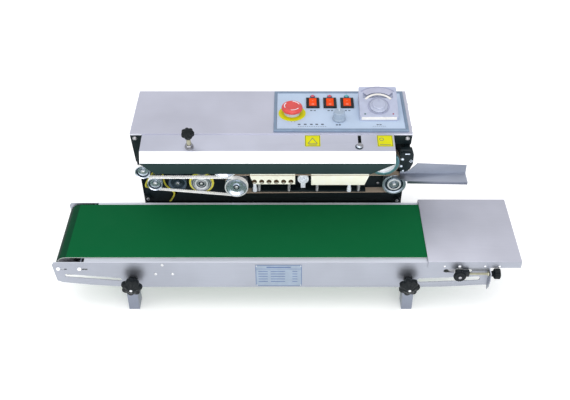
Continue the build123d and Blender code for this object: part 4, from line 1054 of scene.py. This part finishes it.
def make_stop_button():
    x, y = middle("estop_button").xy
    base = flat(x, y, 0)
    face = PANEL_TOP
    ring = bmesh.new()
    lathe(ring, base, [(11.4, face + 0.05), (25.4, face + 0.05), (25.4, face + 1.0), (11.4, face + 1.2)],
          96, ease=0.3)
    lathe(ring, base, [(10.2, face + 0.5), (15.0, face + 0.5), (14.4, face + 4.2), (13.4, face + 6.4),
                       (10.2, face + 6.4)], index=1, ease=0.5)
    lathe(ring, base, [(10.2, 281), (11, 281), (11, face), (10.2, face)], 48, index=1, ease=0.2)
    add("stop_base", ring, [YELLOW, GREY_PLASTIC], "head", replaces=("estop_base",))
    bm = bmesh.new()
    lathe(bm, base, rounded([(0, 284), (9.9, 284), (9.9, 305.8), (15.9, 306), (15.9, 301.4), (17.6, 301.1),
                             (19.4, 302.4), (19.8, 304.6), (19.3, 307.5), (17.6, 309.3), (15.6, 309.9),
                             (12.8, 309.3), (12.2, 308.9), (0, 309.2)], 0.7, 4), 96)
    for start in (20, 140, 260):
        arc_strip(bm, flat(x, y, 309.4), 14.2, 1.5, start, start + 66, 0.5, index=1)
    add("stop_button", bm, [RED, WHITE], "estop_button", replaces=("estop_button",), smooth=40)


def make_lamps():
    y, face = middle("indicator_lamps").y, PANEL_TOP
    for k, (rocker, look) in enumerate(zip(ROCKERS, (LAMP_RED, LAMP_RED, LAMP_TEAL)), start=1):
        bm = bmesh.new()
        base = flat(middle(rocker).x, y, 0)
        lathe(bm, base, [(0, face), (3.6, face), (3.6, face + 1.6), (2.4, face + 3.4), (0, face + 4.0)], 40,
              ease=0.6)
        lathe(bm, base, [(3.6, face), (4.9, face), (4.9, face + 0.9), (3.6, face + 1.3)], 40, index=1,
              ease=0.3)
        add(f"lamp_{k}", bm, [look, PRINT], "head", replaces=("indicator_lamps",) if k == 1 else ())


def make_rocker_marks():
    """The usual line and ring of an on-off switch."""
    for node in ROCKERS:
        low, high = corners(node)
        centre = middle(node)
        reach = (high.y - low.y) / 2
        tilt = math.atan2(high.z - ROCKER_LEVEL, reach)
        bm = bmesh.new()
        rear_z = ROCKER_LEVEL + math.tan(tilt) * reach * 0.5 + 0.05
        rear = frame_at((centre.x, centre.y + reach * 0.5, rear_z), (0, -math.sin(tilt), math.cos(tilt)))
        prism(bm, rear, rectangle(1.1, 4.2), 0.2)
        lathe(bm, flat(centre.x, centre.y - reach * 0.5, ROCKER_LEVEL + 0.02),
              [(1.5, 0), (2.3, 0), (2.3, 0.2), (1.5, 0.2)], 28)
        add(f"{node}_marks", bm, SWITCH_MARK, node)


def make_speed_knob():
    x, y = middle("speed_knob").xy
    base, face = flat(x, y, 0), PANEL_TOP
    bm = bmesh.new()
    lathe(bm, base, [(0, face + 0.7), (12.3, face + 0.7), (12.4, face + 3.2), (10.9, face + 4.6),
                     (10.3, 308.2), (9.2, 309.4), (0, 309.2)], 144, shape=flutes(24, 0.7), ease=0.5)
    prism(bm, flat(x, y + 5.2, 309.3), rectangle(1.2, 7.0, 0.4), 0.5, 0.15, index=1)
    lathe(bm, base, [(0, 286.5), (2.9, 286.5), (2.9, face + 1), (0, face + 1)], 24, index=2)
    add("speed_knob_fluted", bm, [SMOKE, WHITE, ZINC], "speed_knob", replaces=("speed_knob",))


def make_thermostat():
    low, high = corners("thermostat_housing")
    base = joint_frame("thermostat_turn")
    dial = bmesh.new()
    lathe(dial, base, [(0, 0.6), (16.9, 0.6), (16.9, 2.8), (15.8, 3.9), (12.9, 4.2), (12.2, 7.0),
                       (11.2, 8.0), (0, 8.1)], 144, ease=0.7)
    lathe(dial, base, [(12.1, 4.1), (12.9, 4.1), (12.5, 6.6), (12.0, 6.8)], 144, shape=flutes(36, 0.35),
          ease=0.2)
    prism(dial, shifted(base, y=7, z=8.0), rectangle(1.0, 7.0, 0.4), 0.4, 0.15, index=1)
    lathe(dial, base, [(0, -7.3), (2.9, -7.3), (2.9, 1), (0, 1)], 24)
    add("dial_turned", dial, [DIAL, LILAC_SHADE], "thermostat_dial", replaces=("thermostat_dial",))
    trim = bmesh.new()
    # The first arc is white as a painted highlight on the lip between dial and window.
    for lift, radius, width, start, end, height, index, steps in (
            (0.1, 29.0, 4.0, 36, 144, 0.8, 0, 20), (-0.2, 40.5, 13.0, 52, 128, 0.5, 1, 20),
            (0.1, 48.0, 1.4, 50, 130, 0.6, 2, 20), (0.05, 19.5, 1.4, 0, 359, 0.5, 2, 60)):
        arc_strip(trim, shifted(base, z=lift), radius, width, start, end, height, index, steps)
    for x, index in ((-26.0, 3), (26.0, 4)):
        lathe(trim, shifted(base, x, -19.0, 0.05), [(0, 0), (1.5, 0), (1.5, 0.5), (1.0, 0.9), (0, 1.0)], 24,
              index=index)
    prism(trim, towards_front((low.x + high.x) / 2, 297.65, low.y + 0.1),
          rectangle(high.x - low.x - 6, 6.0, 0.8), 0.5, 0.15)
    add("scale_window", trim, [WHITE_STRIP_AND_HIGHLIGHT, WINDOW, LILAC_SHADE, LED_GREEN, LED_RED], "head")


def make_panel_print():
    """Rows of small plain bars that stand for print: (X, Y, width, depth) each."""
    groups = [(x, 35.2, 5.0, 3.6) for x in (23.0, 34.2, 45.4, 55.4, 65.8)]
    groups += [(22.0 + 4.1 * k, 28.4, 2.6, 1.0) for k in range(13)]
    groups += [(95.0 + dx, 33.6, 3.8, 3.6) for dx in (-2.6, 2.6)]
    groups += [(170.0 + dx, 34.2, 3.8, 2.8) for dx in (-2.6, 2.6)]
    groups += [(170.0 + 3.6 * k, 29.2, 2.4, 0.9) for k in range(-3, 4)]
    groups += [(middle(node).x + dx, 80.0, 4.0, 2.8) for node in ROCKERS for dx in (-3.2, 3.2)]
    groups += [(12.0 + dx, 43.5, 2.0, 1.2) for dx in (-3.0, 3.0)]
    bm = bmesh.new()
    for x, y, width, depth in groups:
        prism(bm, flat(x, y, PANEL_TOP + 0.01), rectangle(width, depth), 0.06)
    add("panel_print", bm, PRINT, "head")


# ---------------------------------------------------------------- labels, plate and fasteners
RAIL_FRONT = -155.0
LABEL_DEPTH = 29.5
PLATE_X, PLATE_Z = (-56.6, 28.0), (64.6, 117.7)


def guard_frame(x, y):
    """A frame on the guard's upper face."""
    turn = joint_frame("pressure_turn")
    origin, up = turn.translation, turn.col[2].xyz
    return frame_at((x, y, origin.z - (y - origin.y) * up.y / up.z + 0.03), up)


def border(bm, base, across, deep, line, lap=0.0):
    """Four thin bars round a rectangle, measured between their middles; `lap` lengthens two."""
    for side in (-1, 1):
        prism(bm, base, rectangle(across + lap, line, centre=(0, side * deep / 2)), 0.05, index=1)
        prism(bm, base, rectangle(line, deep + line, centre=(side * across / 2, 0)), 0.05, index=1)


def make_guard_labels():
    """Two yellow labels with a plain outline shape and a bar on each."""
    for name, x_low, x_high in (("label_left", 33.0, 61.0), ("label_right", 163.5, 192.0)):
        bm = bmesh.new()
        base = guard_frame((x_low + x_high) / 2, -8.5)
        width = x_high - x_low
        prism(bm, base, rectangle(width, LABEL_DEPTH, 1.2), 0.12)
        edge = shifted(base, z=0.13)
        border(bm, edge, width - 2.4, LABEL_DEPTH - 2.4, 1.0, lap=1.0)
        if name == "label_left":
            arc_strip(bm, shifted(edge, y=-2), 9.5, 2.2, 90, 450, 0.05, index=2, steps=3)
            prism(bm, edge, rectangle(15.0, 1.4, centre=(0, -10.6)), 0.05, index=2)
        else:
            arc_strip(bm, shifted(edge, -6.0, 4.0), 3.6, 1.1, 0, 360, 0.05, index=2)
            prism(bm, edge, rectangle(20.0, 1.2, centre=(0, -10.0)), 0.05, index=2)
        add(name, bm, [YELLOW, LABEL_EDGE, PRINT], "head")


def make_sight_bolt():
    """The dark washer and bright dome of the bolt in the guard's slot."""
    base = guard_frame(130.5, -23.4)
    bm = bmesh.new()
    lathe(bm, base, [(4.9, 0.0), (7.2, 0.0), (7.2, 0.7), (4.9, 0.9)], 56, index=1, ease=0.2)
    lathe(bm, base, [(0, 0.1), (4.9, 0.1), (4.9, 1.6), (3.2, 2.9), (0, 3.3)], 56, ease=0.4)
    add("sight_bolt", bm, [CHROME, SHADED], "head")


def make_name_plate():
    """A pale plate with a border, a heading bar and three columns of plain bars."""
    width, height = PLATE_X[1] - PLATE_X[0], PLATE_Z[1] - PLATE_Z[0]
    base = towards_front(sum(PLATE_X) / 2, sum(PLATE_Z) / 2, RAIL_FRONT - 0.05)
    bm = bmesh.new()
    prism(bm, base, rectangle(width, height, 2.0), 0.6, 0.15)
    top = shifted(base, z=0.61)
    inner_w, inner_h = width - 1.8, height - 1.8
    border(bm, top, inner_w, inner_h, 0.9)
    lines = [(0, inner_h / 2 - 9.0, inner_w, 0.8), (0, inner_h / 2 - 4.6, 44, 2.4)]
    for row in range(5):
        y = inner_h / 2 - 15.0 - row * 6.4
        lines += [(13 - inner_w / 2, y, 17, 1.5), (40 - inner_w / 2, y, 26, 1.5)]
        lines += [(inner_w / 2 - 12, y, 9, 1.5)]
    for x, y, across, deep in lines:
        prism(bm, top, rectangle(across, deep, centre=(x, y)), 0.05, index=1)
    for x in (2.2 - width / 2, width / 2 - 2.2):
        for y in (2.2 - height / 2, height / 2 - 2.2):
            lathe(bm, shifted(base, x, y, 0.6), [(0, 0), (1.2, 0), (1.0, 0.5), (0, 0.7)], 20, index=2)
    add("name_plate", bm, [PLATE_SILVER, BLUE_PRINT, ZINC], "conveyor")


def make_rail_fasteners():
    """Screws on the rail and, standing further out, on the table's skirt: X, Z, radius, standing out."""
    bm = bmesh.new()
    for x, z, radius, out in ((-412.8, 108.4, 4.0, 0), (-374.7, 107.6, 4.0, 0), (-224.7, 117.4, 1.8, 0),
                              (-238.4, 94.4, 1.7, 0), (-207.3, 94.4, 1.7, 0), (384.0, 114.8, 1.9, 1.3),
                              (285.0, 115.6, 1.9, 1.3), (358.0, 115.6, 1.9, 1.3), (312.1, 114.9, 2.6, 1.5)):
        pan_screw(bm, towards_front(x, z, RAIL_FRONT - out), radius)
    # The screws take the pale plate, painted as the highlight on their domes.
    add("rail_screws", bm, HIGHLIGHT_STEEL, "conveyor")


def make_bracket_bolts():
    bm = bmesh.new()
    for x, z, radius, y in ((213.0, 243.0, 3.2, -6.0), (212.4, 224.0, 2.8, -2.0), (216.5, 213.0, 2.4, -2.0)):
        pan_screw(bm, towards_front(x, z, y), radius)
    prism(bm, towards_front(221.6, 254.6, -6.0), rectangle(9.0, 2.2, 0.6), 0.3, 0.1)
    lathe(bm, towards_front(229.5, 236.0, -1.9), [(1.6, 0), (3.2, 0), (3.2, 1.2), (1.6, 1.2)], 32, ease=0.3)
    add("bracket_bolts", bm, CHROME, "head")


finish_plain_nodes()
ease_cad_shapes()
make_conveyor_belt()
make_guide_belts()
make_seal_bands()
make_drive_and_guide_wheels()
make_emboss_wheels()
make_idler_and_infeed_pulleys()
make_emboss_rims()
make_press_roller()
make_cooling_blocks()
make_block_posts()
make_plate_screws()
make_heater_leads()
make_leg_knobs()
make_pressure_knob()
make_tension_screw()
make_clamp_knob()
make_stop_button()
make_lamps()
make_rocker_marks()
make_speed_knob()
make_thermostat()
make_panel_print()
make_guard_labels()
make_sight_bolt()
make_name_plate()
make_rail_fasteners()
make_bracket_bolts()

# ---------------------------------------------------------------- floor
floor_mesh = bpy.data.meshes.new("floor")
floor_mesh.from_pydata([(-6, -6, 0), (6, -6, 0), (6, 6, 0), (-6, 6, 0)], [], [(0, 1, 2, 3)])
floor_mesh.materials.append(FLOOR.material)
floor = bpy.data.objects.new("floor", floor_mesh)
SCENE.collection.objects.link(floor)
